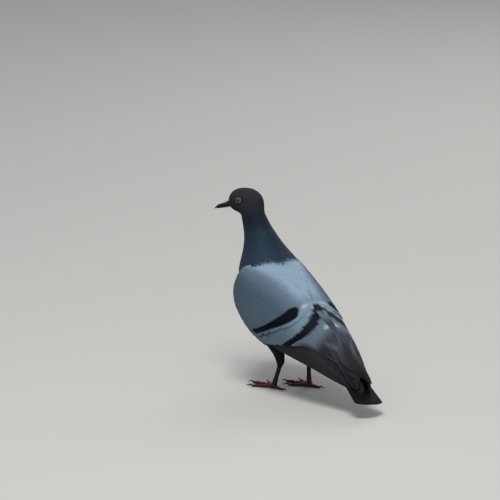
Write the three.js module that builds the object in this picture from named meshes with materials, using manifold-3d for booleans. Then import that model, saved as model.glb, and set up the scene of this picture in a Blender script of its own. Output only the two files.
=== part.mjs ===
// A rock pigeon, life size, standing alert on both feet with its wings folded and its head turned left.
// Millimetres, +Z up. The bird faces -Y and its left side is +X.
// The feathered form is lofted from sections, then parted into its named pieces by thin cuts.

import * as THREE from "three";
import { mergeVertices } from "three/addons/utils/BufferGeometryUtils.js";
import Module from "manifold-3d";

const wasm = await Module();
wasm.setup();

// ---------------------------------------------------------------- driving dimensions

const GAP = 0.3; // clearance between neighbouring pieces
const LAYER_GAP = 0.55; // clearance between the slanting layers of a wing
const DEG = Math.PI / 180;

const BODY_SEGMENTS = 20; // points round a section of the trunk and neck
const BODY_STEPS = 2; // rings from one body section to the next

// Body sections from the tail root to the top of the neck. x, y, z: centre. pitch: degrees by which
// the spine climbs towards the head. width: half width. up, down: reach to the back and to the belly.
const BODY_SECTIONS = [
  { x: 0, y: 101, z: 45, pitch: 30, width: 9, up: 5, down: 6 },
  { x: 0, y: 81, z: 54, pitch: 30, width: 17, up: 10, down: 12 },
  { x: 0, y: 57, z: 63, pitch: 30, width: 24, up: 17, down: 22 },
  { x: 0, y: 30, z: 73, pitch: 30, width: 32, up: 22.5, down: 33 },
  { x: 0, y: 2, z: 85, pitch: 31, width: 37, up: 26.5, down: 43 },
  { x: 0, y: -20, z: 98, pitch: 37, width: 37.5, up: 27, down: 46 },
  { x: 0, y: -34, z: 110, pitch: 46, width: 34, up: 25.5, down: 44 },
  { x: 0, y: -42, z: 121, pitch: 58, width: 29, up: 23.5, down: 34 },
  { x: 0, y: -47, z: 132, pitch: 69, width: 22.5, up: 20.5, down: 24 },
  { x: 1.5, y: -51, z: 144, pitch: 75, width: 17.2, up: 18, down: 17 },
  { x: 4, y: -56, z: 157, pitch: 77, width: 13.8, up: 14, down: 13 },
  { x: 6.5, y: -60.5, z: 171, pitch: 77, width: 12.5, up: 11, down: 10 },
];

// Where thin cuts part the lofted body: a point on the spine and the pitch of the cut's normal.
const NECK_CUT = { y: -40, z: 117, pitch: 68 };
const BREAST_CUT = { y: -20, z: 98, pitch: 37 };
const RUMP_CUT = { y: 60, z: 62, pitch: 30 };

const HEAD = { x: 8.5, y: -65, z: 178.5, turn: 38, nod: 0, segments: 16 };

// Head sections along its own axis from nape to bill: along is measured from the head's centre,
// rise lifts the section's centre.
const HEAD_SECTIONS = [
  { along: -17, rise: -3, width: 6, up: 6, down: 12 },
  { along: -13.5, rise: -1.5, width: 9.5, up: 10, down: 16.5 },
  { along: -7.5, rise: 0, width: 11.2, up: 12.8, down: 16 },
  { along: 0, rise: 0.5, width: 11.8, up: 13.6, down: 14.5 },
  { along: 7.5, rise: 0.5, width: 11.2, up: 13, down: 13.2 },
  { along: 13.5, rise: 0, width: 9.2, up: 11.2, down: 10.4 },
  { along: 17.3, rise: -1, width: 6.8, up: 8.6, down: 7 },
  { along: 19.5, rise: -2.5, width: 4, up: 4.8, down: 3.8 },
];

const EYE = { along: 5, rise: 2.4, side: 7.9, radius: 4.2, segments: 10 };

const BILL = { along: 16, rise: -4.1, length: 19, width: 3.2, upper: 3.1, lower: 2.4, droop: 14, hook: 1.8 };
const CERE = { along: 20.2, rise: -2.6, length: 6.5, width: 2.3, height: 1.7 };

// Ribs of the folded left wing from the wrist to the tip: its lower and its upper edge, how far the
// rib bows outwards, and its thickness. The right wing is its mirror image.
const WING_RIBS = [
  { low: [35.5, -50, 98], high: [29.5, -42, 118.5], bow: 3, thick: 5 },
  { low: [40, -37, 78], high: [25.5, -28.5, 125.5], bow: 7.5, thick: 7 },
  { low: [42, -2, 57], high: [13, 0, 119], bow: 13, thick: 8 },
  { low: [38, 36, 46], high: [5, 38, 99], bow: 14, thick: 7 },
  { low: [30, 76, 38], high: [4, 78, 77], bow: 9, thick: 5 },
  { low: [20.5, 112, 29], high: [4, 115, 51.5], bow: 4.5, thick: 3.5 },
  { low: [9.5, 140, 22], high: [4, 143, 27.5], bow: 0.8, thick: 2 },
];
// How the wing's bend rounds off: over what length and how deep.
const WRIST = { length: 0.07, depth: 8 };
const WING_AXIS = new THREE.Vector3(-0.15, 0.9, -0.42).normalize();

// The wing's layers of feathers, outermost first. from and to: along the wing. low and high: across
// it. inset: depth under the outer surface.
const WING_LAYERS = {
  coverts: {
    from: 0, to: (t) => 0.42 + 0.13 * t, low: () => 0, high: () => 1,
    inset: 0, rows: 9, columns: 8,
  },
  secondaries: {
    from: 0.36, to: (t) => 0.56 + 0.29 * Math.sin((t * Math.PI) / 2),
    low: (f) => 0.08 + 0.34 * f * f, high: () => 0.98,
    inset: 1.3, rows: 6, columns: 6,
  },
  primaries: {
    from: 0.4, to: () => 1, low: () => 0, high: (f) => 0.75 + 0.25 * f,
    inset: 2.4, rows: 8, columns: 5,
  },
};

// The folded tail. root and tip: y and z of its ends. sway: how far its tip lies to the bird's left.
// roll: degrees by which its left edge is raised. round: how much shorter its outer feathers are.
const TAIL = {
  root: [66, 64],
  tip: [150, 12],
  sway: 1,
  roll: 8.5,
  rootHalfWidth: 12,
  tipHalfWidth: 21.5,
  thickness: 3.4,
  arch: 3,
  round: 6,
  feathers: 12,
};

const SIDES = [["left", 1], ["right", -1]];

const LEGS = {
  left: { side: 1, foot: [18.5, 0], hock: [19.5, 14, 30], knee: [22, 6, 60], turnOut: 13 },
  right: { side: -1, foot: [-14.5, 14], hock: [-16.5, 10, 30], knee: [-20, 8, 60], turnOut: -18 },
};
const THIGH = { knee: 19, hock: 5.2 };
const TARSUS = { radius: 2.3, ankle: 2.9, segments: 8 };
const TOES = [
  { name: "middle", angle: 0, length: 29, radius: 2.3, joints: 4 },
  { name: "inner", angle: -30, length: 21, radius: 2.1, joints: 3 },
  { name: "outer", angle: 29, length: 23, radius: 2.1, joints: 4 },
  { name: "hind", angle: 176, length: 13, radius: 1.9, joints: 2 },
];
const CLAW = { length: 7, radius: 1.25, sink: 0.6 };

// ---------------------------------------------------------------- materials

function finish(color, roughness, metalness = 0) {
  return new THREE.MeshStandardMaterial({ color, roughness, metalness });
}

const FINISHES = {
  head: finish("#3b3c42", 0.7),
  neck: finish("#2b3d4a", 0.45, 0.1),
  breast: finish("#46515e", 0.7),
  mantle: finish("#8496a6", 0.75),
  belly: finish("#6a7683", 0.8),
  wing: finish("#75899a", 0.75),
  flight: finish("#35353b", 0.65),
  tail: finish("#2b2c31", 0.65),
  leg: finish("#6b2530", 0.55),
  claw: finish("#1c1918", 0.4),
  bill: finish("#262223", 0.4),
  cere: finish("#5a5350", 0.7),
  eye: finish("#a5421a", 0.12),
};

// ---------------------------------------------------------------- helpers

// The closed manifold body of a geometry, whose points alone count.
function toSolid(geometry) {
  const merged = mergeVertices(geometry, 1e-5);
  return new wasm.Manifold(
    new wasm.Mesh({
      numProp: 3,
      vertProperties: new Float32Array(merged.attributes.position.array),
      triVerts: new Uint32Array(merged.index.array),
    }),
  );
}

// A cut may leave a sliver beside the piece; only the piece is kept.
function largestBody(solid) {
  const bodies = solid.decompose();
  return bodies.reduce((best, body) => (body.volume() > best.volume() ? body : best));
}

function toMesh(name, solid, material) {
  const cut = largestBody(solid).getMesh();
  const geometry = new THREE.BufferGeometry();
  geometry.setAttribute("position", new THREE.BufferAttribute(cut.vertProperties, 3));
  geometry.setIndex(new THREE.BufferAttribute(cut.triVerts, 1));
  const faceted = geometry.toNonIndexed();
  faceted.computeVertexNormals();
  const mesh = new THREE.Mesh(faceted, material);
  mesh.name = name;
  return mesh;
}

function geometryFrom(points, triangles) {
  const geometry = new THREE.BufferGeometry();
  const numbers = points.flatMap((p) => [p.x, p.y, p.z]);
  geometry.setAttribute("position", new THREE.Float32BufferAttribute(numbers, 3));
  geometry.setIndex(triangles);
  return geometry;
}

// Joins rings of equally many points into one closed solid. A round end is closed by a fan about its
// middle, and the end of a folded sheet by a strip from its outer to its inner edge.
function loft(rings, { sheet = false } = {}) {
  const count = rings[0].length;
  const points = rings.flat();
  const triangles = [];
  for (let ring = 0; ring + 1 < rings.length; ring++) {
    for (let i = 0; i < count; i++) {
      const a = ring * count + i;
      const b = ring * count + ((i + 1) % count);
      triangles.push(a, b, a + count, b, b + count, a + count);
    }
  }
  for (const last of [false, true]) {
    const first = last ? (rings.length - 1) * count : 0;
    const end = sheet ? stripEnd(first, count) : fanEnd(first, count, points);
    triangles.push(...(last ? end : end.reverse()));
  }
  return outward(toSolid(geometryFrom(points, triangles)), points, triangles);
}

function fanEnd(first, count, points) {
  const ring = points.slice(first, first + count);
  const middle = points.length;
  points.push(ring.reduce((sum, p) => sum.add(p), new THREE.Vector3()).divideScalar(count));
  return ring.flatMap((_, i) => [middle, first + i, first + ((i + 1) % count)]);
}

function stripEnd(first, count) {
  const triangles = [];
  for (let i = 0; i + 1 < count / 2; i++) {
    const a = first + i;
    const c = first + count - 1 - i;
    triangles.push(a, a + 1, c, a + 1, c - 1, c);
  }
  return triangles;
}

// Turns a closed surface the right way out if its faces point inwards.
function outward(solid, points, triangles) {
  if (solid.volume() > 0) {
    return solid;
  }
  const flipped = [];
  for (let i = 0; i < triangles.length; i += 3) {
    flipped.push(triangles[i], triangles[i + 2], triangles[i + 1]);
  }
  return toSolid(geometryFrom(points, flipped));
}

// Value of a smooth curve through evenly numbered samples, at a place that may lie between two.
function smooth(samples, place) {
  const last = samples.length - 1;
  const i = Math.min(Math.floor(place), last - 1);
  const t = place - i;
  const before = samples[Math.max(i - 1, 0)];
  const from = samples[i];
  const to = samples[i + 1];
  const after = samples[Math.min(i + 2, last)];
  const leave = (to - before) / 2;
  const arrive = (after - from) / 2;
  return (
    from * (2 * t ** 3 - 3 * t ** 2 + 1) +
    leave * (t ** 3 - 2 * t ** 2 + t) +
    to * (3 * t ** 2 - 2 * t ** 3) +
    arrive * (t ** 3 - t ** 2)
  );
}

// Sections with every value taken along smooth curves, a few steps from each to the next.
function refine(sections, steps) {
  const keys = Object.keys(sections[0]);
  const count = (sections.length - 1) * steps;
  return Array.from({ length: count + 1 }, (_, i) => {
    const place = i / steps;
    return Object.fromEntries(keys.map((key) => [key, smooth(sections.map((s) => s[key]), place)]));
  });
}

// Closed half space in front of a cut, as a large block. The normal leans up by the cut's pitch.
function blockBeyond(cut, clearance, size = 600) {
  const block = new THREE.BoxGeometry(size, size, size);
  block.deleteAttribute("normal");
  block.deleteAttribute("uv");
  block.translate(0, -size / 2 - clearance, 0);
  block.rotateX(-cut.pitch * DEG);
  block.translate(0, cut.y, cut.z);
  return toSolid(block);
}

// ---------------------------------------------------------------- trunk and neck

function bodySolid(grow = 0) {
  const rings = refine(BODY_SECTIONS, BODY_STEPS).map((section, index, all) => {
    const tip = index === 0 ? grow : index === all.length - 1 ? -grow : 0;
    return Array.from({ length: BODY_SEGMENTS }, (_, i) => {
      const angle = (i / BODY_SEGMENTS) * 2 * Math.PI;
      const reach = Math.sin(angle) > 0 ? section.up : section.down;
      const lift = Math.sin(angle) * (reach + grow);
      const side = Math.cos(angle) * (section.width + grow);
      const pitch = section.pitch * DEG;
      return new THREE.Vector3(
        section.x + side,
        section.y + lift * Math.sin(pitch) + tip * Math.cos(pitch),
        section.z + lift * Math.cos(pitch) - tip * Math.sin(pitch),
      );
    });
  });
  return loft(rings);
}

// ---------------------------------------------------------------- head

// Puts a point of the head's own axes (side to the left, along to the bill, rise) into the bird's.
function headPoint(side, along, rise) {
  const point = new THREE.Vector3(side, -along, rise);
  point.applyAxisAngle(new THREE.Vector3(1, 0, 0), HEAD.nod * DEG);
  point.applyAxisAngle(new THREE.Vector3(0, 0, 1), HEAD.turn * DEG);
  return point.add(new THREE.Vector3(HEAD.x, HEAD.y, HEAD.z));
}

function headRings(sections, segments, grow) {
  return sections.map((section, index) => {
    const tip = index === 0 ? -grow : index === sections.length - 1 ? grow : 0;
    return Array.from({ length: segments }, (_, i) => {
      const angle = (i / segments) * 2 * Math.PI;
      const reach = Math.sin(angle) > 0 ? section.up : section.down;
      return headPoint(
        Math.cos(angle) * (section.width + grow),
        section.along + tip,
        section.rise + Math.sin(angle) * (reach + grow),
      );
    });
  });
}

function headSolid(grow = 0) {
  return loft(headRings(refine(HEAD_SECTIONS, 2), HEAD.segments, grow));
}

function eyeSolid(side, grow = 0) {
  const ball = new THREE.SphereGeometry(EYE.radius + grow, EYE.segments, EYE.segments - 4);
  ball.deleteAttribute("normal");
  ball.deleteAttribute("uv");
  const place = headPoint(side * EYE.side, EYE.along, EYE.rise);
  ball.translate(place.x, place.y, place.z);
  return toSolid(ball);
}

// One jaw of the bill: a tapered half cone that droops and hooks towards its tip.
function billSolid(part, grow = 0) {
  const steps = 7;
  const segments = 8;
  const upper = part === "upper";
  const length = BILL.length - (upper ? 0 : 2.6);
  const rings = [];
  for (let step = 0; step <= steps; step++) {
    const t = step / steps;
    const taper = Math.sqrt(1 - 0.93 * t ** 2.4);
    const end = step === 0 ? -grow : step === steps ? grow : 0;
    const along = BILL.along + length * t * Math.cos(BILL.droop * DEG) + end;
    const axis = BILL.rise - length * t * Math.sin(BILL.droop * DEG) - BILL.hook * t ** 4;
    const swell = 1 + 0.22 * Math.exp(-(((t - 0.82) / 0.14) ** 2));
    const height = (upper ? BILL.upper * swell : BILL.lower) * taper + 2 * grow;
    const ring = [];
    for (let i = 0; i < segments; i++) {
      const angle = (i / (segments - 1)) * Math.PI;
      const side = Math.cos(angle) * (BILL.width * taper + grow);
      const lift = Math.sin(angle) * height + GAP / 2 - grow;
      ring.push(headPoint(side, along, axis + (upper ? lift : -lift)));
    }
    rings.push(ring);
  }
  return loft(rings);
}

// The soft dark swelling over the nostrils: two lobes joined over the ridge of the bill.
function cereSolid() {
  const lobes = [-1, 1].map((side) => {
    const lobe = new THREE.SphereGeometry(1, 8, 6);
    lobe.deleteAttribute("normal");
    lobe.deleteAttribute("uv");
    lobe.scale(CERE.width, CERE.length / 2, CERE.height);
    lobe.rotateX((HEAD.nod + BILL.droop) * DEG);
    lobe.rotateZ(HEAD.turn * DEG);
    const place = headPoint(side * CERE.width * 0.5, CERE.along + CERE.length * 0.12, CERE.rise - 0.6);
    lobe.translate(place.x, place.y, place.z);
    return toSolid(lobe);
  });
  return lobes[0].add(lobes[1]);
}

// ---------------------------------------------------------------- wings

// A closed shell between an outer and an inner sheet of rows of points.
function shell(outer, inner) {
  return loft(outer.map((row, i) => [...row, ...inner[i].toReversed()]), { sheet: true });
}

function mirrored(points, side) {
  return points.map((p) => new THREE.Vector3(p.x * side, p.y, p.z));
}

// A place on the folded left wing: along runs from the wrist, 0, to the tip, 1, and across from the
// lower edge, 0, to the upper edge, 1. It gives the outer point, the way out and the thickness.
function wingPlace(along, across) {
  const place = along * (WING_RIBS.length - 1);
  const value = (read) => smooth(WING_RIBS.map(read), place);
  const low = new THREE.Vector3(...[0, 1, 2].map((axis) => value((rib) => rib.low[axis])));
  const high = new THREE.Vector3(...[0, 1, 2].map((axis) => value((rib) => rib.high[axis])));
  const chord = high.clone().sub(low);
  const out = WING_AXIS.clone().cross(chord).normalize();
  const arch = 4 * across * (1 - across);
  const bend = WRIST.depth * Math.max(0, 1 - along / WRIST.length) ** 2;
  const bow = value((rib) => rib.bow) * arch - bend;
  return {
    point: low.addScaledVector(chord, across).addScaledVector(out, bow),
    out,
    up: chord.normalize(),
    thick: value((rib) => rib.thick) * (0.35 + 0.65 * Math.sqrt(Math.max(0, arch))),
  };
}

// One layer of the wing's feathers as a closed shell, grown on every side by grow.
function wingSolid(side, layer, grow = 0) {
  const { from, to, low, high, inset, rows, columns } = layer;
  const outer = [];
  const inner = [];
  for (let row = 0; row <= rows; row++) {
    const end = row === 0 ? -grow : row === rows ? grow : 0;
    const outerRow = [];
    const innerRow = [];
    for (let column = 0; column <= columns; column++) {
      const edge = column === 0 ? -grow : column === columns ? grow : 0;
      const step = row / rows;
      const across = low(step) + ((high(step) - low(step)) * column) / columns;
      const along = from + (to(column / columns) - from) * step;
      const { point, out, up, thick } = wingPlace(along, across);
      const slant = row === rows ? -grow * (1 - column / columns) : 0;
      point.addScaledVector(WING_AXIS, end).addScaledVector(up, edge + slant);
      outerRow.push(point.clone().addScaledVector(out, grow - inset));
      innerRow.push(point.clone().addScaledVector(out, -inset - thick - grow));
    }
    outer.push(mirrored(outerRow, side));
    inner.push(mirrored(innerRow, side));
  }
  return shell(outer, inner);
}

// ---------------------------------------------------------------- tail

function tailSolid(grow = 0) {
  const rows = 8;
  const columns = TAIL.feathers + 1;
  const root = new THREE.Vector3(0, ...TAIL.root);
  const tip = new THREE.Vector3(TAIL.sway, ...TAIL.tip);
  const axis = tip.clone().sub(root).normalize();
  const length = tip.distanceTo(root);
  const across = new THREE.Vector3(1, 0, 0).applyAxisAngle(axis, -TAIL.roll * DEG);
  const normal = axis.clone().cross(across).negate().normalize();
  const outer = [];
  const inner = [];
  for (let row = 0; row < rows; row++) {
    const t = row / (rows - 1);
    const half = TAIL.rootHalfWidth + (TAIL.tipHalfWidth - TAIL.rootHalfWidth) * t;
    const outerRow = [];
    const innerRow = [];
    for (let column = 0; column < columns; column++) {
      const u = (column / (columns - 1)) * 2 - 1;
      const reach = length - TAIL.round * u * u + (row === rows - 1 ? grow : 0);
      const along = row === 0 ? -grow : reach * t;
      const lift = TAIL.arch * (0.4 - u * u) * (0.4 + 0.6 * t);
      const thick = (TAIL.thickness * (1 - 0.55 * u * u)) / 2 + grow;
      const point = root.clone().addScaledVector(axis, along).addScaledVector(normal, lift);
      point.addScaledVector(across, u * (half + grow));
      outerRow.push(point.clone().addScaledVector(normal, thick));
      innerRow.push(point.clone().addScaledVector(normal, -thick));
    }
    outer.push(outerRow);
    inner.push(innerRow);
  }
  return shell(outer, inner);
}

// ---------------------------------------------------------------- legs

// A round limb through places with radii, seen as rings square to its run.
function limb(stops, segments, grow = 0) {
  const rings = stops.map((stop, index) => {
    const before = stops[Math.max(index - 1, 0)].at;
    const after = stops[Math.min(index + 1, stops.length - 1)].at;
    const run = after.clone().sub(before).normalize();
    const across = new THREE.Vector3(1, 0, 0).addScaledVector(run, -run.x).normalize();
    const third = run.clone().cross(across);
    const end = index === 0 ? -grow : index === stops.length - 1 ? grow : 0;
    return Array.from({ length: segments }, (_, i) => {
      const angle = (i / segments) * 2 * Math.PI;
      return stop.at
        .clone()
        .addScaledVector(run, end)
        .addScaledVector(across, Math.cos(angle) * (stop.wide + grow))
        .addScaledVector(third, Math.sin(angle) * (stop.deep + grow));
    });
  });
  return loft(rings);
}

function thighSolid(leg, grow = 0) {
  const knee = new THREE.Vector3(...leg.knee);
  const hock = new THREE.Vector3(...leg.hock);
  const shin = new THREE.Vector3(leg.foot[0], leg.foot[1], 3).sub(hock);
  const stops = [0, 0.35, 0.7, 1].map((t) => {
    const size = THIGH.knee + (THIGH.hock - THIGH.knee) * Math.sin((t * Math.PI) / 2);
    return { at: knee.clone().lerp(hock, t), wide: size * 0.85, deep: size * (1.25 - 0.25 * t) };
  });
  stops.push({ at: hock.clone().addScaledVector(shin, 0.22), wide: 3.2, deep: 3.4 });
  return limb(stops, 12, grow);
}

function tarsusSolid(leg, grow = 0) {
  const hock = new THREE.Vector3(...leg.hock);
  const ankle = new THREE.Vector3(leg.foot[0], leg.foot[1], TARSUS.ankle);
  const stops = [
    { t: 0.05, wide: 2.6, deep: 3 },
    { t: 0.3, wide: TARSUS.radius * 0.9, deep: TARSUS.radius * 1.15 },
    { t: 0.65, wide: TARSUS.radius * 0.9, deep: TARSUS.radius * 1.1 },
    { t: 0.9, wide: 2.9, deep: 2.7 },
    { t: 1.0, wide: 3, deep: 2.5 },
  ].map(({ t, wide, deep }) => ({ at: hock.clone().lerp(ankle, t), wide, deep }));
  const shank = limb(stops, TARSUS.segments, grow);
  return shank.add(footPad(leg, grow));
}

// The pad under the ankle, flat on the floor.
function footPad(leg, grow) {
  const pad = new THREE.SphereGeometry(1, 8, 6);
  pad.deleteAttribute("normal");
  pad.deleteAttribute("uv");
  pad.scale(4.1 + grow, 4.6 + grow, 3.4 + grow);
  pad.translate(leg.foot[0], leg.foot[1] - 0.5, 2.2);
  return toSolid(pad).intersect(aboveFloor(grow));
}

function aboveFloor(grow = 0) {
  const room = new THREE.BoxGeometry(600, 600, 300);
  room.deleteAttribute("normal");
  room.deleteAttribute("uv");
  room.translate(0, 0, 150 - grow);
  return toSolid(room);
}

function toePlace(leg, toe, along, height) {
  const heading = (leg.turnOut + toe.angle) * leg.side * DEG;
  return new THREE.Vector3(
    leg.foot[0] + Math.sin(heading) * along,
    leg.foot[1] - Math.cos(heading) * along,
    height,
  );
}

// A toe with a swelling at each joint and a flat underside on the floor.
function toeSolid(leg, toe, grow = 0) {
  const steps = toe.joints * 2;
  const segments = 8;
  const rings = [];
  for (let step = 0; step <= steps; step++) {
    const t = step / steps;
    const swell = 1 + 0.1 * Math.cos(t * toe.joints * 2 * Math.PI);
    const radius = toe.radius * (1 - 0.32 * t) * swell * (step === steps ? 0.75 : 1);
    const end = step === steps ? grow : 0;
    const middle = toePlace(leg, toe, toe.length * t + end, 0);
    const heading = (leg.turnOut + toe.angle) * leg.side * DEG;
    const ring = [];
    for (let i = 0; i < segments; i++) {
      const angle = ((i + 0.5) / segments) * 2 * Math.PI;
      const side = Math.cos(angle) * (radius + grow);
      const height = radius * 0.82 + Math.sin(angle) * (radius + grow);
      ring.push(
        new THREE.Vector3(
          middle.x + Math.cos(heading) * side,
          middle.y + Math.sin(heading) * side,
          Math.max(height, -grow),
        ),
      );
    }
    rings.push(ring);
  }
  return loft(rings);
}

// A claw that leaves the toe's end, arches and comes down to a blunt point just over the floor.
function clawSolid(leg, toe) {
  const steps = 4;
  const stops = [];
  for (let step = 0; step <= steps; step++) {
    const t = step / steps;
    const radius = CLAW.radius * (1 - 0.8 * t);
    const height = 1.5 + 0.9 * Math.sin(t * Math.PI * 0.8) - 1.2 * t ** 2;
    stops.push({
      at: toePlace(leg, toe, toe.length - CLAW.sink + CLAW.length * t, height),
      wide: radius * 0.75,
      deep: radius,
    });
  }
  return limb(stops, 5).intersect(aboveFloor());
}

// ---------------------------------------------------------------- assembly

const bird = new THREE.Group();

function add(name, solid, material) {
  bird.add(toMesh(name, solid, material));
}

function addBody() {
  const body = bodySolid();
  const neckSide = blockBeyond(NECK_CUT, GAP / 2);
  const belowNeck = body.subtract(blockBeyond(NECK_CUT, -GAP / 2));
  const breastSide = blockBeyond(BREAST_CUT, GAP / 2);
  const belowBreast = belowNeck.subtract(blockBeyond(BREAST_CUT, -GAP / 2));
  add("neck", body.intersect(neckSide).subtract(headSolid(GAP)), FINISHES.neck);
  add("breast", belowNeck.intersect(breastSide), FINISHES.breast);
  add("trunk", belowBreast.intersect(blockBeyond(RUMP_CUT, GAP / 2)), FINISHES.mantle);
  add("tail_coverts", belowBreast.subtract(blockBeyond(RUMP_CUT, -GAP / 2)), FINISHES.belly);
}

function addHead() {
  const bill = billSolid("upper", GAP).add(billSolid("lower", GAP));
  let skull = headSolid().subtract(bill);
  for (const [name, side] of SIDES) {
    skull = skull.subtract(eyeSolid(side, GAP));
    add(`eye_${name}`, eyeSolid(side), FINISHES.eye);
  }
  add("head", skull, FINISHES.head);
  add("bill_upper", billSolid("upper"), FINISHES.bill);
  add("bill_lower", billSolid("lower"), FINISHES.bill);
  add("cere", cereSolid().subtract(bill).subtract(headSolid(GAP)), FINISHES.cere);
}

function addWings() {
  for (const [name, side] of SIDES) {
    let covered = bodySolid(GAP).add(tailSolid(GAP));
    for (const [layer, shape] of Object.entries(WING_LAYERS)) {
      const material = layer === "primaries" ? FINISHES.flight : FINISHES.wing;
      add(`wing_${name}_${layer}`, wingSolid(side, shape).subtract(covered), material);
      covered = covered.add(wingSolid(side, shape, LAYER_GAP));
    }
  }
}

function addTail() {
  add("tail", tailSolid().subtract(bodySolid(GAP)), FINISHES.tail);
}

function addLegs() {
  for (const [name, side] of SIDES) {
    const leg = LEGS[name];
    let covered = bodySolid(GAP);
    for (const layer of Object.values(WING_LAYERS)) {
      covered = covered.add(wingSolid(side, layer, GAP));
    }
    add(`thigh_${name}`, thighSolid(leg).subtract(covered), FINISHES.belly);
    add(`tarsus_${name}`, tarsusSolid(leg).subtract(thighSolid(leg, GAP)), FINISHES.leg);
    let taken = tarsusSolid(leg, GAP);
    for (const toe of TOES) {
      add(`toe_${name}_${toe.name}`, toeSolid(leg, toe).subtract(taken), FINISHES.leg);
      add(`claw_${name}_${toe.name}`, clawSolid(leg, toe).subtract(toeSolid(leg, toe, GAP)), FINISHES.claw);
      taken = taken.add(toeSolid(leg, toe, GAP));
    }
  }
}

addBody();
addHead();
addWings();
addTail();
addLegs();

// The frame's origin lies on the floor, under the middle of the bird's bounds.
const bounds = new THREE.Box3().setFromObject(bird);
const middle = bounds.getCenter(new THREE.Vector3());
for (const mesh of bird.children) {
  mesh.geometry.translate(-middle.x, -middle.y, -bounds.min.z);
}

export default bird;
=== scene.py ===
# Dresses a rock pigeon that stands alert on both feet, its wings folded and its head turned to the left.
# One skin carries the small feathers, the wings and tail carry their large ones feather by feather.
# The bird faces -Y and its left side is +X.

import math

import bmesh
import bpy
import numpy as np
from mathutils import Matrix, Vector
from mathutils.bvhtree import BVHTree
from mathutils.kdtree import KDTree


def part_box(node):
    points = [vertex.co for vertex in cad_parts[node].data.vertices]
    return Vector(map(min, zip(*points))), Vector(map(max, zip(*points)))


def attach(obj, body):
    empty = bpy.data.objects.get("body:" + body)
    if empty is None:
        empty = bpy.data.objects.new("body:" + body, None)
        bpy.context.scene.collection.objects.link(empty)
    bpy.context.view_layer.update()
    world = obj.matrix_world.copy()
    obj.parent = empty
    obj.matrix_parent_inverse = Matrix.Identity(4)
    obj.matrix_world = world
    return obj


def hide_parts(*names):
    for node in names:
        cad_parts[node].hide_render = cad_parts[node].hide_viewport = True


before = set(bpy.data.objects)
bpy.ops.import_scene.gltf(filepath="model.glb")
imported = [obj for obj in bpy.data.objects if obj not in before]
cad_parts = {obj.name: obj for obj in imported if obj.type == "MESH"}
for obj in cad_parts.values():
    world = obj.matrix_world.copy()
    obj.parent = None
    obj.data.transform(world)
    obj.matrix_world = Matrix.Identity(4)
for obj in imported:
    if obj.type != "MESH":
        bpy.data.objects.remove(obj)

bl_info = {
    "name": "Rock Pigeon",
    "version": (1, 0, 0),
    "blender": (4, 5, 0),
    "location": "View3D > Sidebar > Pigeon",
    "description": "Dresses a standing rock pigeon with skin, plumage, eyes, bill and feet",
    "category": "Object",
}

MM = 0.001
SETBACK = 29.47  # mm from the origin of the tables below, over the hips, back to the frame's origin
SIDES = {"left": 1, "right": -1}
UP = np.array((0.0, 0.0, 1.0))

# ---------------------------------------------------------------- the bird's own measures, in mm

FLESH = ("head", "neck", "breast", "trunk", "tail_coverts", "thigh_left", "thigh_right")
WING_LAYERS = ("coverts", "secondaries", "primaries")
TOES = ("middle", "inner", "outer", "hind")
CLAW_ROOT, CLAW_DROP = 0.8, 0.45  # how far a claw's base is drawn back into its toe, and down
SCUTE = 1.75  # from one scute of the legs and toes to the next

# Spine from tail root to nape: y, z and the pitch in degrees by which it climbs to the head.
SPINE = ((101, 45, 30), (57, 63, 30), (2, 85, 31), (-20, 98, 37), (-34, 110, 46), (-42, 121, 58),
         (-47, 132, 69), (-51, 144, 75), (-56, 157, 77), (-60.5, 171, 77))

HEAD_CENTRE = (8.5, -65.0, 178.5)
HEAD_TURN = math.radians(38)
BILL = {"along": 16, "rise": -4.1, "length": 19, "width": 3.2, "upper": 3.1, "lower": 2.4,
        "droop": math.radians(14), "hook": 1.8, "overhang": 2.6}
EYE = {"along": 5, "rise": 2.4, "side": 7.9, "radius": 4.15, "iris": 3.0, "pupil": 1.6}
EYE_BLACK, EYE_RIM, EYE_BACK = (0.004, 0.004, 0.005), (0.02, 0.015, 0.013), (0.02, 0.02, 0.02)
LID = {"out": 3.05, "rise": 3.0, "half_width": 0.5, "half_height": 0.3}

# Ribs of the folded left wing from wrist to tip: lower edge, upper edge, and outward bow.
RIB_LOW = np.array([(35.5, -50, 98), (40, -37, 78), (42, -2, 57), (38, 36, 46),
                    (30, 76, 38), (20.5, 112, 29), (9.5, 140, 22)], float)
RIB_HIGH = np.array([(29.5, -42, 118.5), (25.5, -28.5, 125.5), (13, 0, 119), (5, 38, 99),
                     (4, 78, 77), (4, 115, 51.5), (4, 143, 27.5)], float)
RIB_BOW = np.array([3, 7.5, 13, 14, 9, 4.5, 0.8], float)[:, None]
WRIST_LENGTH, WRIST_DEPTH = 0.07, 8  # share of the wing's length that bends in at the wrist, and mm inwards
WING_AXIS = np.array((-0.15, 0.9, -0.42)) / np.linalg.norm((-0.15, 0.9, -0.42))
WING_OUT = np.array((0.79, 0.36, 0.49))  # the way out of the left wing's side, about its middle
WING_LENGTH = 215.0

TAIL_ROOT, TAIL_TIP, TAIL_ROLL = (0, 66, 64), (1, 150, 12), math.radians(8.5)
TAIL_HALF = (12, 21.5)  # half width at root and tip
TAIL_ARCH, TAIL_ROUND = 3, 6

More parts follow.
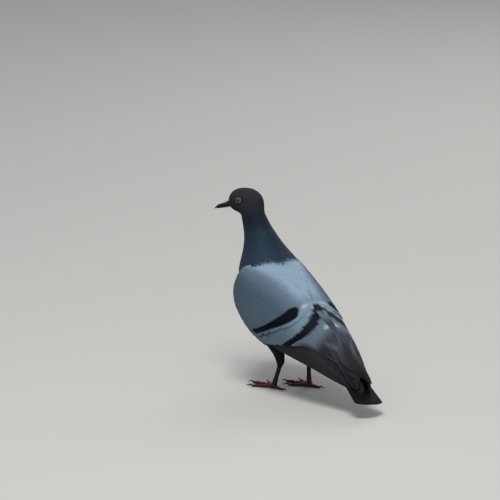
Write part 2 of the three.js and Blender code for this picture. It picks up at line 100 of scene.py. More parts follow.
# Regions of the skin. depth: mm of coat over it. length: of its feathers. gloss: sheen of the plumage.
REGIONS = {
    "head": {"nodes": ("head",), "depth": 0.3, "length": 2.9, "gloss": 0.15},
    "neck": {"nodes": ("neck",), "depth": 1.1, "length": 6.5, "gloss": 1.0},
    "breast": {"nodes": ("breast",), "depth": 1.7, "length": 9.5, "gloss": 0.3},
    "back": {"nodes": ("trunk",), "depth": 1.7, "length": 11.5, "gloss": 0.0},
    "rump": {"nodes": ("tail_coverts",), "depth": 1.4, "length": 13.0, "gloss": 0.0},
    "thigh": {"nodes": ("thigh_left", "thigh_right"), "depth": 0.5, "length": 5.5, "gloss": 0.0},
    "wing": {"nodes": tuple(f"wing_{side}_{layer}" for side in SIDES for layer in WING_LAYERS),
             "depth": 1.3, "length": 9.0, "gloss": 0.0},
}
# Coats of small feathers: the regions each covers, mm between roots, and a seed.
COATS = {
    "plumage_head": (("head",), 0.85, 3),
    "plumage_neck": (("neck",), 1.55, 5),
    "plumage_body": (("breast", "back"), 2.1, 7),
    "plumage_rump": (("rump",), 2.6, 11),
    "plumage_thighs": (("thigh",), 1.5, 13),
    "plumage_wing_rims": (("wing",), 1.7, 17),
}

# ---------------------------------------------------------------- numbers and places


def linear(code):
    """Linear colour of a six-digit colour code."""
    parts = [int(code[i:i + 2], 16) / 255 for i in (0, 2, 4)]
    return tuple(p / 12.92 if p <= 0.04045 else ((p + 0.055) / 1.055) ** 2.4 for p in parts)


def ramp(value, low, high):
    """Smooth step from 0 at low to 1 at high."""
    t = np.clip((value - low) / (high - low), 0, 1)
    return t * t * (3 - 2 * t)


def unit(vectors):
    return vectors / np.maximum(np.linalg.norm(vectors, axis=-1, keepdims=True), 1e-9)


def to_frame(points):
    """From the tables' millimetres to the frame's metres."""
    return (np.asarray(points, float) - (0, SETBACK, 0)) * MM


def from_frame(points):
    return np.asarray(points, float) / MM + (0, SETBACK, 0)


HEAD_SIDE = np.array((math.cos(HEAD_TURN), math.sin(HEAD_TURN), 0))
HEAD_FORWARD = np.array((math.sin(HEAD_TURN), -math.cos(HEAD_TURN), 0))


def head_point(side, along, rise):
    """A place given in the head's own axes."""
    side, along, rise = (np.asarray(v, float)[..., None] for v in (side, along, rise))
    return np.array(HEAD_CENTRE) + HEAD_SIDE * side + HEAD_FORWARD * along + UP * rise


def grid(first, second):
    """Two rows of numbers spread out as a table of each."""
    return np.meshgrid(first, second, indexing="ij")


def along_axes(axes, amounts):
    """The sum of three axes, each times its own table of amounts."""
    return sum(axis * amount[..., None] for axis, amount in zip(axes, amounts))


def curve_at(samples, place):
    """Smooth curve through evenly numbered samples, at an array of places."""
    last = len(samples) - 1
    i = np.clip(np.floor(place).astype(int), 0, last - 1)
    t = (place - i)[..., None]
    start, end = samples[i], samples[i + 1]
    leave = (end - samples[np.maximum(i - 1, 0)]) / 2
    arrive = (samples[np.minimum(i + 2, last)] - start) / 2
    return (start * (2 * t**3 - 3 * t**2 + 1) + leave * (t**3 - 2 * t**2 + t)
            + end * (3 * t**2 - 2 * t**3) + arrive * (t**3 - t**2))


def wing_edges(along):
    place = np.asarray(along, float) * (len(RIB_LOW) - 1)
    return curve_at(RIB_LOW, place), curve_at(RIB_HIGH, place), curve_at(RIB_BOW, place)


def wing_chord(along):
    low, high, _ = wing_edges(along)
    return np.linalg.norm(high - low, axis=-1)


def wing_surface(along, across, side):
    """A folded wing's outer surface: along from wrist 0 to tip 1, across from lower edge 0 to upper 1."""
    low, high, bow = wing_edges(along)
    chord = high - low
    out = unit(np.cross(WING_AXIS, chord))
    across = np.asarray(across, float)[..., None]
    over = np.clip(across - 1, 0, None)
    arch = 4 * np.clip(across, 0, 1) * (1 - across) - 10 * over**2
    bend = WRIST_DEPTH * np.clip(1 - along / WRIST_LENGTH, 0, None)[..., None] ** 2
    return (low + chord * across + out * (bow * arch - bend)) * (side, 1, 1)


def wing_normal(along, across, side):
    step = 0.01
    run = wing_surface(along + step, across, side) - wing_surface(along - step, across, side)
    rise = wing_surface(along, across + step, side) - wing_surface(along, across - step, side)
    return unit(np.cross(run, rise)) * side


def tail_axes():
    axis = unit(np.subtract(TAIL_TIP, TAIL_ROOT))
    across = np.array((1.0, 0, 0))
    across = across * math.cos(TAIL_ROLL) - np.cross(axis, across) * math.sin(TAIL_ROLL)
    return axis, across, unit(-np.cross(axis, across))


TAIL_AXIS, TAIL_ACROSS, TAIL_UP = tail_axes()
TAIL_LENGTH = float(np.linalg.norm(np.subtract(TAIL_TIP, TAIL_ROOT)))


def tail_surface(along, aside, lift):
    """The folded tail's sheet: mm from its root, mm to its left and mm above it."""
    t = np.clip(along / TAIL_LENGTH, 0, 1)
    u = aside / (TAIL_HALF[0] + (TAIL_HALF[1] - TAIL_HALF[0]) * t)
    arch = TAIL_ARCH * (0.4 - np.minimum(u * u, 1.5)) * (0.4 + 0.6 * t)
    return (np.array(TAIL_ROOT) + TAIL_AXIS * along[..., None] + TAIL_ACROSS * aside[..., None]
            + TAIL_UP * (arch + lift)[..., None])


# ---------------------------------------------------------------- markings

BAR_WIDTH = 0.021  # half width of a wing bar, as a share of the wing's length
BAR_FADE = (0.88, 1.08)  # where a bar begins and ends to fade, as shares of its half width
# Painted highlights, laid as pale spots between and behind the bars.
PAINTED_HIGHLIGHT_SPOTS = ((0.52, 0.90), (0.548, 1.03), (0.655, 0.96))  # between and behind the bars, along and across

# Tips of the secondaries and tertials, from the outermost to the innermost, along and across the wing.
SECONDARY_TIPS = np.array(((0.46, 0.03), (0.54, 0.13), (0.61, 0.25), (0.69, 0.38), (0.77, 0.48), (0.83, 0.56),
                           (0.89, 0.66), (0.93, 0.80), (0.95, 0.93), (0.95, 1.05), (0.92, 1.12)))
SECONDARY_EDGE = SECONDARY_TIPS[:8]  # those that bound the dark flight feathers below


def first_bar(across):
    """Where along the wing the front bar crosses it."""
    return 0.508 - 0.364 * np.clip(0.75 - across, 0, None) ** 2


def second_bar(across):
    """Where along the wing the rear bar crosses it."""
    return 0.601 - 0.24 * np.clip(0.68 - across, 0, None) ** 1.9 - 0.16 * np.clip(across - 0.85, 0, None)


def mixed(base, colour, share):
    return base + (np.asarray(colour) - base) * np.asarray(share)[..., None]


def covert_colours(along, across):
    """Blue-grey of the wing in front of its rear bar, palest beside the back and between the bars. Its tones
    from the lower edge up are partly its own and partly painted light, with a painted highlight at the
    wrist's front edge.
    """
    tint = bpy.context.scene.pigeon_colours
    # Partly the wing's own tones and partly painted light and shade: darker across the middle, lighter
    # towards the top.
    grey = mixed(np.array(tint.wing_low), np.array(tint.wing_middle), ramp(across, 0.05, 0.55))
    # Painted highlight along the wrist's front edge, in the upper wing's colour.
    shoulder = 0.8 * ramp(-along, -0.16, 0.02)
    grey = mixed(grey, tint.wing_high, np.maximum(ramp(across, 0.55, 0.85), shoulder))
    grey = mixed(grey, tint.mantle, ramp(across, 0.78, 1.0) * (1 - ramp(along, 0.45, 0.55)))
    between = ramp(along - first_bar(across), 0.0, 0.02)
    grey = mixed(grey, tint.wing_panel, 0.4 * between)
    return mixed(grey, tint.mantle, (0.12 + 0.4 * ramp(across, 0.3, 0.65)) * between)


def rear_colours(colour, along, across):
    """Darkens the pale panel behind the rear bar towards the tips and the flight feathers below, leaving a
    painted highlight over the tertials.
    """
    tint = bpy.context.scene.pigeon_colours
    behind = ramp(along - second_bar(across), 0.0, 0.03)
    colour = mixed(colour, tint.wing_panel, behind)
    edge = across - np.interp(along, *SECONDARY_EDGE.T)
    low_edge = ramp(along, 0.57, 0.62) * (1 - ramp(edge, 0.04, 0.20))
    dusk = behind * np.maximum(ramp(along, 0.65, 0.71), low_edge)
    # Painted highlight: a pale streak along the tertials, where less of the dark is laid.
    painted_highlight_streak = ramp(across, 0.82, 0.90) * (1 - ramp(across, 0.97, 1.02)) * (1 - ramp(along, 0.83, 0.90))
    inner_edge = ramp(across, 1.01, 1.05) * ramp(along, 0.6, 0.66)
    colour = mixed(colour, tint.flight, np.maximum(dusk * (1 - 0.2 * painted_highlight_streak), inner_edge))
    colour = mixed(colour, tint.tail_band, 0.8 * ramp(along, 0.84, 0.93))
    # Painted highlight: a paler slanted patch in the upper wing's colour, part of the same streak.
    gap = np.hypot((along - 0.755) / 0.085, (across - 0.86 - 2.4 * (along - 0.755)) / 0.08)
    colour = mixed(colour, tint.wing_high, 0.4 * (1 - ramp(gap, 0.1, 1.2)))
    return mixed(colour, tint.bar, 0.7 * (1 - ramp(edge, 0.02, 0.09)) * ramp(along, 0.57, 0.62))


def bar_shares(along, across):
    """How far each place lies on a bar: the front one tapers to both ends, the rear one widens upwards."""
    tapered = BAR_WIDTH * (0.85 + 0.45 * ramp(across, 0.1, 0.6)) * (1 - 0.6 * ramp(across, 0.68, 0.82))
    front = 1 - ramp(np.abs(along - first_bar(across)) / tapered, *BAR_FADE)
    front = front * (1 - ramp(across, 0.78, 0.82))
    widened = BAR_WIDTH * (0.7 + 0.5 * ramp(across, 0.3, 0.85))
    rear = 1 - ramp(np.abs(along - second_bar(across)) / widened, *BAR_FADE)
    return np.maximum(front, rear) * ramp(across, 0.03, 0.08)


def wing_colours(along, across):
    """Blue-grey wing with two black bars and a pale panel that darkens to the flight feathers."""
    tint = bpy.context.scene.pigeon_colours
    colour = rear_colours(covert_colours(along, across), along, across)
    # Painted highlights: small pale spots beside the bars.
    for spot_along, spot_across in PAINTED_HIGHLIGHT_SPOTS:
        gap = np.hypot((along - spot_along) / 0.011, (across - spot_across) / 0.06)
        colour = mixed(colour, tint.highlight_spot, 0.8 * (1 - ramp(gap, 0.2, 1.4)))
    return mixed(colour, tint.bar, bar_shares(along, across))


def body_colours(points, shares):
    """Colours over the skin and the gloss there, from each point's region shares."""
    tint = bpy.context.scene.pigeon_colours
    x, y, z = points.T
    collar = y + 16 + 0.38 * np.abs(x)  # mm behind the dark neck's edge on the back
    mottle = np.sin(x * 0.23 + z * 0.31) * np.sin(y * 0.27 - z * 0.12)
    sheen = mixed(np.array(tint.neck), tint.neck_green, 0.5 * ramp(0.4 * mottle + (z - 140) / 40, -0.5, 0.9))
    sheen = mixed(sheen, tint.neck_purple, 0.5 * ramp(-0.4 * mottle - (z - 128) / 30, 0.0, 1.4))
    throat = mixed(sheen, tint.neck_top, ramp(z, 150, 166))
    belly = mixed(np.array(tint.breast), tint.belly, ramp(y, -52, -8))
    dark = mixed(belly, throat, ramp(z, 92, 112))
    back_y, back_z, _ = zip(*SPINE[::-1])
    above = z - np.interp(y, back_y, back_z)
    pale = mixed(belly, tint.mantle, ramp(above, -6, 12))
    body = mixed(dark, pale, ramp(collar, -2.5, 2.5))
    body = mixed(body, tint.rump, ramp(y, 48, 62) * ramp(above, -4, 6))
    crown = mixed(np.array(tint.head), tint.cheek, ramp(-(z - 181), -2, 6))
    crown = mixed(crown, tint.neck_top, ramp(-(z - 172), -3, 7))
    colour = mixed(body, crown, ramp(shares["head"], 0.1, 0.9))
    colour = mixed(colour, tint.thigh, ramp(shares["thigh"], 0.2, 0.8))
    gloss = sum(shares[name] * region["gloss"] for name, region in REGIONS.items())
    gloss = gloss * (1 - ramp(collar, -4, 2) * (1 - shares["head"]))
    return colour, gloss


# ---------------------------------------------------------------- meshes

PATCH = 0.003  # width of one small feather's patch on the skin's map
FOLD = 70  # degrees from which an edge of a feather stays sharp


def plain_mesh(name, points, faces):
    mesh = bpy.data.meshes.new(name)
    mesh.from_pydata(np.asarray(points, float).tolist(), [], faces)
    mesh.validate()
    return mesh


def coordinates(mesh):
    places = np.empty(len(mesh.vertices) * 3)
    mesh.vertices.foreach_get("co", places)
    return places.reshape(-1, 3)


def place_vertices(mesh, places):
    mesh.vertices.foreach_set("co", np.asarray(places, float).ravel())
    mesh.update()


def vertex_normals(mesh):
    normals = np.empty(len(mesh.vertices) * 3)
    mesh.vertex_normals.foreach_get("vector", normals)
    return normals.reshape(-1, 3)


def corner_vertices(mesh):
    index = np.empty(len(mesh.loops), int)
    mesh.loops.foreach_get("vertex_index", index)
    return index


def store(mesh, name, values, kind="FLOAT"):
    """Stores one value for each vertex as an attribute; kind is FLOAT, FLOAT_VECTOR or FLOAT_COLOR."""
    field = {"FLOAT": "value", "FLOAT_VECTOR": "vector", "FLOAT_COLOR": "color"}[kind]
    layer = mesh.attributes.new(name, kind, "POINT")
    layer.data.foreach_set(field, np.asarray(values, float).ravel())


def solid_copy(names, swell=0.0):
    """One mesh made of copies of CAD nodes, each pushed out along its normals by swell."""
    joined = bmesh.new()
    for name in names:
        part = bmesh.new()
        part.from_mesh(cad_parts[name].data)
        bmesh.ops.remove_doubles(part, verts=part.verts, dist=1e-6)
        bmesh.ops.recalc_face_normals(part, faces=part.faces)
        part.normal_update()
        for vertex in part.verts:
            vertex.co += vertex.normal * swell
        piece = bpy.data.meshes.new("part")
        part.to_mesh(piece)
        part.free()
        joined.from_mesh(piece)
        bpy.data.meshes.remove(piece)
    mesh = bpy.data.meshes.new("joined")
    joined.to_mesh(mesh)
    joined.free()
    return mesh


def evaluated(mesh, prepare):
    """The plain mesh that a modifier, set up on an object by prepare, makes of a mesh."""
    holder = bpy.data.objects.new("holder", mesh)
    bpy.context.scene.collection.objects.link(holder)
    prepare(holder)
    graph = bpy.context.evaluated_depsgraph_get()
    result = bpy.data.meshes.new_from_object(holder.evaluated_get(graph))
    bpy.data.objects.remove(holder)
    return result


def remeshed(mesh, voxel):
    def prepare(holder):
        modifier = holder.modifiers.new("Voxels", "REMESH")
        modifier.mode = "VOXEL"
        modifier.voxel_size = voxel

    result = evaluated(mesh, prepare)
    bpy.data.meshes.remove(mesh)
    return result


def relaxed(mesh, values, passes):
    """Values at a mesh's vertices, each moved half way to its neighbours' mean in every pass."""
    edges = np.empty(len(mesh.edges) * 2, int)
    mesh.edges.foreach_get("vertices", edges)
    a, b = edges.reshape(-1, 2).T
    count = len(mesh.vertices)
    degree = np.maximum(np.bincount(edges, minlength=count), 1)[:, None]
    values = np.asarray(values, float).reshape(count, -1)
    for _ in range(passes):
        total = np.stack([np.bincount(a, v[b], count) + np.bincount(b, v[a], count) for v in values.T], 1)
        values = values + 0.5 * (total / degree - values)
    return values


def unwrap(mesh):
    """Unwraps a mesh over its own shape, clear of the map's border by a feather's patch."""
    holder = bpy.data.objects.new("holder", mesh)
    bpy.context.scene.collection.objects.link(holder)
    mesh.uv_layers.new(name="OFBake")
    bpy.context.view_layer.objects.active = holder
    holder.select_set(True)
    bpy.ops.object.mode_set(mode="EDIT")
    bpy.ops.mesh.select_all(action="SELECT")
    bpy.ops.uv.smart_project(angle_limit=math.radians(66), island_margin=PATCH)
    bpy.ops.object.mode_set(mode="OBJECT")
    bpy.data.objects.remove(holder)
    layer = mesh.uv_layers["OFBake"].uv
    places = np.empty(len(layer) * 2)
    layer.foreach_get("vector", places)
    layer.foreach_set("vector", PATCH + (1 - 2 * PATCH) * np.clip(places, 0, 1))


def finish_piece(name, mesh, material, replaced=(), sharp=None):
    """Turns a mesh into a finished piece of the bird."""
    mesh.name = name
    mesh.materials.clear()
    mesh.materials.append(material)
    mesh.shade_smooth()
    if sharp:
        mesh.set_sharp_from_angle(angle=math.radians(sharp))
    piece = bpy.data.objects.new(name, mesh)
    bpy.context.scene.collection.objects.link(piece)
    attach(piece, "root")
    if replaced:
        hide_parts(*replaced)
    return piece


# ---------------------------------------------------------------- skin

SWELL = 0.5  # mm by which the solids are swollen to join them into one skin, taken off again after
NAPE, NAPE_REACH = (0, -46, 166), 15


def mirrored(vector, points):
    """A direction of the left side, turned over for the points on the right."""
    side = np.sign(points[:, :1])
    return vector * np.concatenate([side, np.ones_like(side), np.ones_like(side)], 1)


def feather_lie(points, shares):
    """Which way the coat lies at each point: back over the head, down the neck, along the back."""
    spine = np.array(SPINE, float)
    gap = np.linalg.norm(points[:, None, 1:] - spine[None, :, :2], axis=2)
    weight = np.exp(-((gap / 18) ** 2) / 2) + 1e-9
    pitch = np.radians(weight @ spine[:, 2] / weight.sum(1))
    lie = np.stack([np.zeros_like(pitch), np.cos(pitch), -np.sin(pitch)], 1)
    behind_centre = -((points - HEAD_CENTRE) @ HEAD_FORWARD)
    over_head = -HEAD_FORWARD - UP * (0.1 + 1.1 * ramp(behind_centre, -2, 14))[:, None]
    lie = mixed(lie, unit(over_head), shares["head"])
    lie = mixed(lie, (0, 0.15, -1), shares["thigh"])
    return unit(mixed(lie, mirrored(WING_AXIS, points), shares["wing"]))


def wing_places(points):
    """The place along and across the nearer wing for each point."""
    along, across = (table.ravel() for table in np.meshgrid(np.linspace(0, 1, 90), np.linspace(0, 1.1, 45)))
    tree = KDTree(len(along))
    for index, place in enumerate(wing_surface(along, across, 1)):
        tree.insert(place, index)
    tree.balance()
    index = np.array([tree.find((abs(x), y, z))[1] for x, y, z in points])
    return along[index], across[index]


def region_shares(mesh):
    """Which region each vertex belongs to, as shares: whole ones, and ones blended over borders."""
    vertices, faces, owner = [], [], []
    for index, region in enumerate(REGIONS.values()):
        for node in region["nodes"]:
            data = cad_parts[node].data
            start = len(vertices)
            vertices += [v.co for v in data.vertices]
            faces += [[start + i for i in p.vertices] for p in data.polygons]
            owner += [index] * len(data.polygons)
    tree = BVHTree.FromPolygons(vertices, faces)
    nearest = np.array([owner[tree.find_nearest(v.co)[2]] for v in mesh.vertices])
    whole = np.eye(len(REGIONS))[nearest]
    blended = relaxed(mesh, whole, 14)
    return dict(zip(REGIONS, whole.T)), dict(zip(REGIONS, blended.T))


def smooth_body(mesh):
    """Evens out the skin, most between the wings and at the nape, which also fills out a little."""
    places = relaxed(mesh, coordinates(mesh), 20)
    x, y, z = from_frame(places).T
    between = ramp(-np.abs(x), -26, -16) * ramp(z + 0.42 * y, 96, 104)
    between = between * ramp(y, -30, -15) * ramp(-y, -95, -75)
    nape = np.exp(-np.sum((from_frame(places) - NAPE) ** 2, 1) / NAPE_REACH**2)
    places = places + (relaxed(mesh, places, 90) - places) * np.maximum(between, nape)[:, None]
    place_vertices(mesh, places)
    normals = vertex_normals(mesh)
    place_vertices(mesh, places + normals * (1.2 * MM * nape)[:, None])
    return normals


def sink_under_coat(mesh, normals, shares):
    """Draws the skin in by the coat's depth, and by more where a folded wing lies over it."""
    depth = sum(shares[name] * region["depth"] for name, region in REGIONS.items() if name != "wing")
    places = coordinates(mesh)
    wing = shares["wing"][:, None]
    inwards = mirrored(unit(WING_OUT), places)
    under_wing = SWELL * normals + REGIONS["wing"]["depth"] * inwards
    sunk = normals * (SWELL * (1 - wing) + depth[:, None]) + under_wing * wing
    place_vertices(mesh, places - sunk * MM)


def feather_lengths(places, shares, rim):
    """Length of the small feathers in mm: shorter on the face and along the wings' rims."""
    length = sum(shares[name] * region["length"] for name, region in REGIONS.items())
    face = (places - HEAD_CENTRE) @ HEAD_FORWARD
    return length * (1 - 0.45 * ramp(face, 0, 14) * shares["head"]) * (1 - 0.35 * rim)


def build_skin():
    """The bird's one skin, from bill to tail root, with all that the feathers need to know."""
    under_wings = [f"wing_{side}_{layer}" for side in SIDES for layer in WING_LAYERS[:2]]
    solids = solid_copy([*FLESH, *under_wings], swell=SWELL * MM)
    mesh = remeshed(solids, bpy.context.scene.pigeon_sizes.skin_grid)
    whole, shares = region_shares(mesh)
    sink_under_coat(mesh, smooth_body(mesh), shares)
    places, normals = from_frame(coordinates(mesh)), vertex_normals(mesh)

    lie = feather_lie(places, shares)
    lie = unit(relaxed(mesh, lie - normals * np.sum(lie * normals, 1, keepdims=True), 6))
    colour, gloss = body_colours(places, shares)
    along, across = wing_places(places)
    colour = mixed(colour, wing_colours(along, across), ramp(shares["wing"], 0.35, 0.65))

    eyes = [head_point(side * EYE["side"], EYE["along"], EYE["rise"]) for side in SIDES.values()]
    from_eye = np.min([np.linalg.norm(places - eye, axis=1) for eye in eyes], axis=0)
    clear_of_eye = ramp(from_eye, EYE["radius"] - 0.1, EYE["radius"] + 0.3)
    shoulder = whole["wing"] * ramp(across, 0.78, 0.9) * (along < 0.5)
    rim = whole["wing"] * np.maximum(along < 0.07, (across < 0.12) * (along < 0.62)) * (1 - shoulder)
    for name, (regions, _, _) in COATS.items():
        mask = sum(whole[region] for region in regions if region != "wing") * clear_of_eye
        mask = mask + shoulder * (name == "plumage_body") + rim * (name == "plumage_wing_rims")
        store(mesh, f"on_{name}", mask)
    store(mesh, "lie", lie, "FLOAT_VECTOR")
    store(mesh, "outward", normals, "FLOAT_VECTOR")
    store(mesh, "feather_length", feather_lengths(places, shares, rim) * MM)
    store(mesh, "plumage", np.concatenate([colour, gloss[:, None]], 1), "FLOAT_COLOR")
    unwrap(mesh)
    material = painted_material("Skin", roughness=0.9, share=0.55)
    return finish_piece("skin", mesh, material, FLESH)


# ---------------------------------------------------------------- small feathers


class Graph:
    """Adds nodes to a node tree and wires their inputs in one go."""

    def __init__(self, tree):
        self.tree = tree

    def add(self, kind, inputs=None, **settings):
        node = self.tree.nodes.new(kind)
        for name, value in settings.items():
            setattr(node, name, value)
        for key, value in (inputs or {}).items():
            self.feed(node.inputs[key], value)
        return node

    def feed(self, socket, value):
        """Gives an input a value, or another node's output."""
        if isinstance(value, bpy.types.NodeSocket):
            self.tree.links.new(value, socket)
        else:
            socket.default_value = value

    def attribute(self, name, kind="FLOAT_VECTOR"):
        node = self.add("GeometryNodeInputNamedAttribute", {"Name": name}, data_type=kind)
        return node.outputs["Attribute"]

    def random(self, low, high, seed):
        inputs = {2: low, 3: high, "Seed": seed}  # sockets 2 and 3 are the limits of a plain number
        return self.add("FunctionNodeRandomValue", inputs, data_type="FLOAT").outputs[1]

    def math(self, operation, *values):
        return self.add("ShaderNodeMath", dict(enumerate(values)), operation=operation).outputs[0]

    def vector(self, operation, *values):
        return self.add("ShaderNodeVectorMath", dict(enumerate(values)), operation=operation).outputs[0]

    def scaled(self, value, scale):
        return self.add("ShaderNodeVectorMath", {0: value, "Scale": scale}, operation="SCALE").outputs[0]


# One small feather, as shares of its length: place along it, half width, and height above the skin.
VANE_ROWS = ((0.0, 0.12, 0.02), (0.25, 0.24, 0.032), (0.5, 0.305, 0.05), (0.72, 0.3, 0.066),
             (0.88, 0.235, 0.075), (0.97, 0.12, 0.07))
VANE_TIP_HEIGHT = 0.055
VANE_MAP_WIDTH = 0.62  # width that fills the vane's own map


def vane_mesh():
    """One small closed feather of unit length along X, with its height kept apart as 'rise'."""
    points, rise = [], []
    for x, half, height in VANE_ROWS:
        points += [(x, -half, 0), (x, 0, 0), (x, half, 0)]
        rise += [height - 0.03, height + 0.02, height - 0.03]
    points.append((1.0, 0, 0))
    rise.append(VANE_TIP_HEIGHT)
    faces = [(0, 1, 2)]
    for row in range(len(VANE_ROWS) - 1):
        a = row * 3
        faces += [(a, a + 3, a + 4, a + 1), (a + 1, a + 4, a + 5, a + 2), (a, a + 2, a + 5, a + 3)]
    left, shaft, right, tip = range(len(points) - 4, len(points))
    faces += [(left, tip, shaft), (shaft, tip, right), (left, right, tip)]
    mesh = plain_mesh("vane", points, faces)
    store(mesh, "rise", rise)
    layer = mesh.uv_layers.new(name="Vane").uv
    for corner, index in enumerate(corner_vertices(mesh)):
        x, y, _ = points[index]
        layer[corner].vector = (x, 0.5 + y / VANE_MAP_WIDTH)
    return mesh


def plumage_tree():
    """Spreads feathers over a skin and lays each along the coat, hugging the skin's shape."""
    tree = bpy.data.node_groups.new("Plumage", "GeometryNodeTree")
    face = tree.interface
    face.new_socket("Geometry", in_out="OUTPUT", socket_type="NodeSocketGeometry")
    for name, kind in (("Geometry", "Geometry"), ("Vane", "Object"), ("Material", "Material"),
                       ("Mask", "String"), ("Spacing", "Float"), ("Seed", "Int"), ("Stand", "Float")):
        face.new_socket(name, in_out="INPUT", socket_type=f"NodeSocket{kind}")
    g = Graph(tree)
    source = g.add("NodeGroupInput").outputs
    mask = g.attribute(source["Mask"], "FLOAT")
    crowd = g.math("DIVIDE", 3.0, g.math("MULTIPLY", source["Spacing"], source["Spacing"]))
    spread = g.add("GeometryNodeDistributePointsOnFaces",
                   {"Mesh": source["Geometry"], "Distance Min": source["Spacing"], "Density Max": crowd,
                    "Density Factor": mask, "Seed": source["Seed"]}, distribute_method="POISSON")
    rooted = g.add("GeometryNodeStoreNamedAttribute",
                   {"Geometry": spread.outputs["Points"], "Name": "root", "Value": g.attribute("OFBake")},
                   data_type="FLOAT_VECTOR", domain="POINT")
    uneven = g.add("GeometryNodeStoreNamedAttribute",
                   {"Geometry": rooted.outputs[0], "Name": "uneven", "Value": g.random(0.0, 1.0, 5)},
                   data_type="FLOAT", domain="POINT")
    bare = g.add("GeometryNodeRemoveAttribute", {"Geometry": uneven.outputs[0], "Name": "OFBake"})
    laid = g.add("FunctionNodeAxesToRotation",
                 {"Primary Axis": spread.outputs["Normal"], "Secondary Axis": g.attribute("lie")},
                 primary_axis="Z", secondary_axis="X")
    yaw = g.add("ShaderNodeCombineXYZ", {"Z": g.random(-0.16, 0.16, 7)}).outputs[0]
    turned = g.add("FunctionNodeRotateRotation", {"Rotation": laid.outputs[0], "Rotate By": yaw},
                   rotation_space="LOCAL")
    length = g.math("MULTIPLY", g.attribute("feather_length", "FLOAT"), g.random(0.88, 1.1, 9))
    scale = g.add("ShaderNodeCombineXYZ", {"X": length, "Y": length, "Z": length}).outputs[0]
    vane = g.add("GeometryNodeObjectInfo", {"Object": source["Vane"]}).outputs["Geometry"]
    placed = g.add("GeometryNodeInstanceOnPoints",
                   {"Points": bare.outputs[0], "Instance": vane,
                    "Rotation": turned.outputs[0], "Scale": scale})
    real = g.add("GeometryNodeRealizeInstances", {"Geometry": placed.outputs[0]}).outputs[0]

    def on_skin(value):
        return g.add("GeometryNodeSampleNearestSurface", {"Mesh": source["Geometry"], "Value": value},
                     data_type="FLOAT_VECTOR").outputs["Value"]

    ground = on_skin(g.add("GeometryNodeInputPosition").outputs[0])
    outward = g.vector("NORMALIZE", on_skin(g.attribute("outward")))
    height = g.math("MULTIPLY", g.attribute("rise", "FLOAT"), g.attribute("feather_length", "FLOAT"))
    extra = g.math("MULTIPLY", g.attribute("uneven", "FLOAT"), source["Stand"])
    lifted = g.vector("ADD", ground, g.scaled(outward, g.math("ADD", height, extra)))
    hugging = g.add("GeometryNodeSetPosition", {"Geometry": real, "Position": lifted}).outputs[0]
    patch = g.scaled(g.vector("SUBTRACT", g.attribute("Vane"), (0.5, 0.5, 0)), PATCH)
    on_map = g.vector("ADD", g.attribute("root"), patch)
    mapped = g.add("GeometryNodeStoreNamedAttribute",
                   {"Geometry": hugging, "Name": "OFBake", "Value": on_map},
                   data_type="FLOAT2", domain="CORNER").outputs[0]
    for name in ("root", "rise", "lie", "outward", "feather_length"):
        mapped = g.add("GeometryNodeRemoveAttribute", {"Geometry": mapped, "Name": name}).outputs[0]
    painted = g.add("GeometryNodeSetMaterial", {"Geometry": mapped, "Material": source["Material"]})
    g.add("NodeGroupOutput", {0: painted.outputs[0]})
    return tree


def build_plumage(skin, vane, tree, name, material):
    """One coat of small feathers over its regions of the skin."""
    _, spacing, seed = COATS[name]
    size = bpy.context.scene.pigeon_sizes
    values = {"Vane": vane, "Material": material, "Mask": f"on_{name}", "Seed": seed,
              "Spacing": spacing * size.feather_spacing * MM, "Stand": size.feather_stand}

    def prepare(holder):
        modifier = holder.modifiers.new("Plumage", "NODES")
        modifier.node_group = tree
        for item in tree.interface.items_tree:
            if item.in_out == "INPUT" and item.name in values:
                modifier[item.identifier] = values[item.name]

    copy = skin.data.copy()
    mesh = evaluated(copy, prepare)
    bpy.data.meshes.remove(copy)
    if not len(mesh.polygons):
        raise RuntimeError(f"{name} grew no feathers")
    for extra in [a.name for a in mesh.attributes if a.name.startswith("on_")]:
        mesh.attributes.remove(mesh.attributes[extra])
    return finish_piece(name, mesh, material, sharp=FOLD)


# ---------------------------------------------------------------- large feathers


def skin_map(skin):
    """A function that gives the place on the skin's map nearest to a point."""
    index = corner_vertices(skin)
    places = np.empty(len(index) * 2)
    skin.uv_layers["OFBake"].uv.foreach_get("vector", places)
    on_map = np.empty((len(skin.vertices), 2))
    on_map[index] = places.reshape(-1, 2)
    tree = KDTree(len(skin.vertices))
    for vertex in skin.vertices:
        tree.insert(vertex.co, vertex.index)
    tree.balance()
    return lambda point: on_map[tree.find(point)[1]]


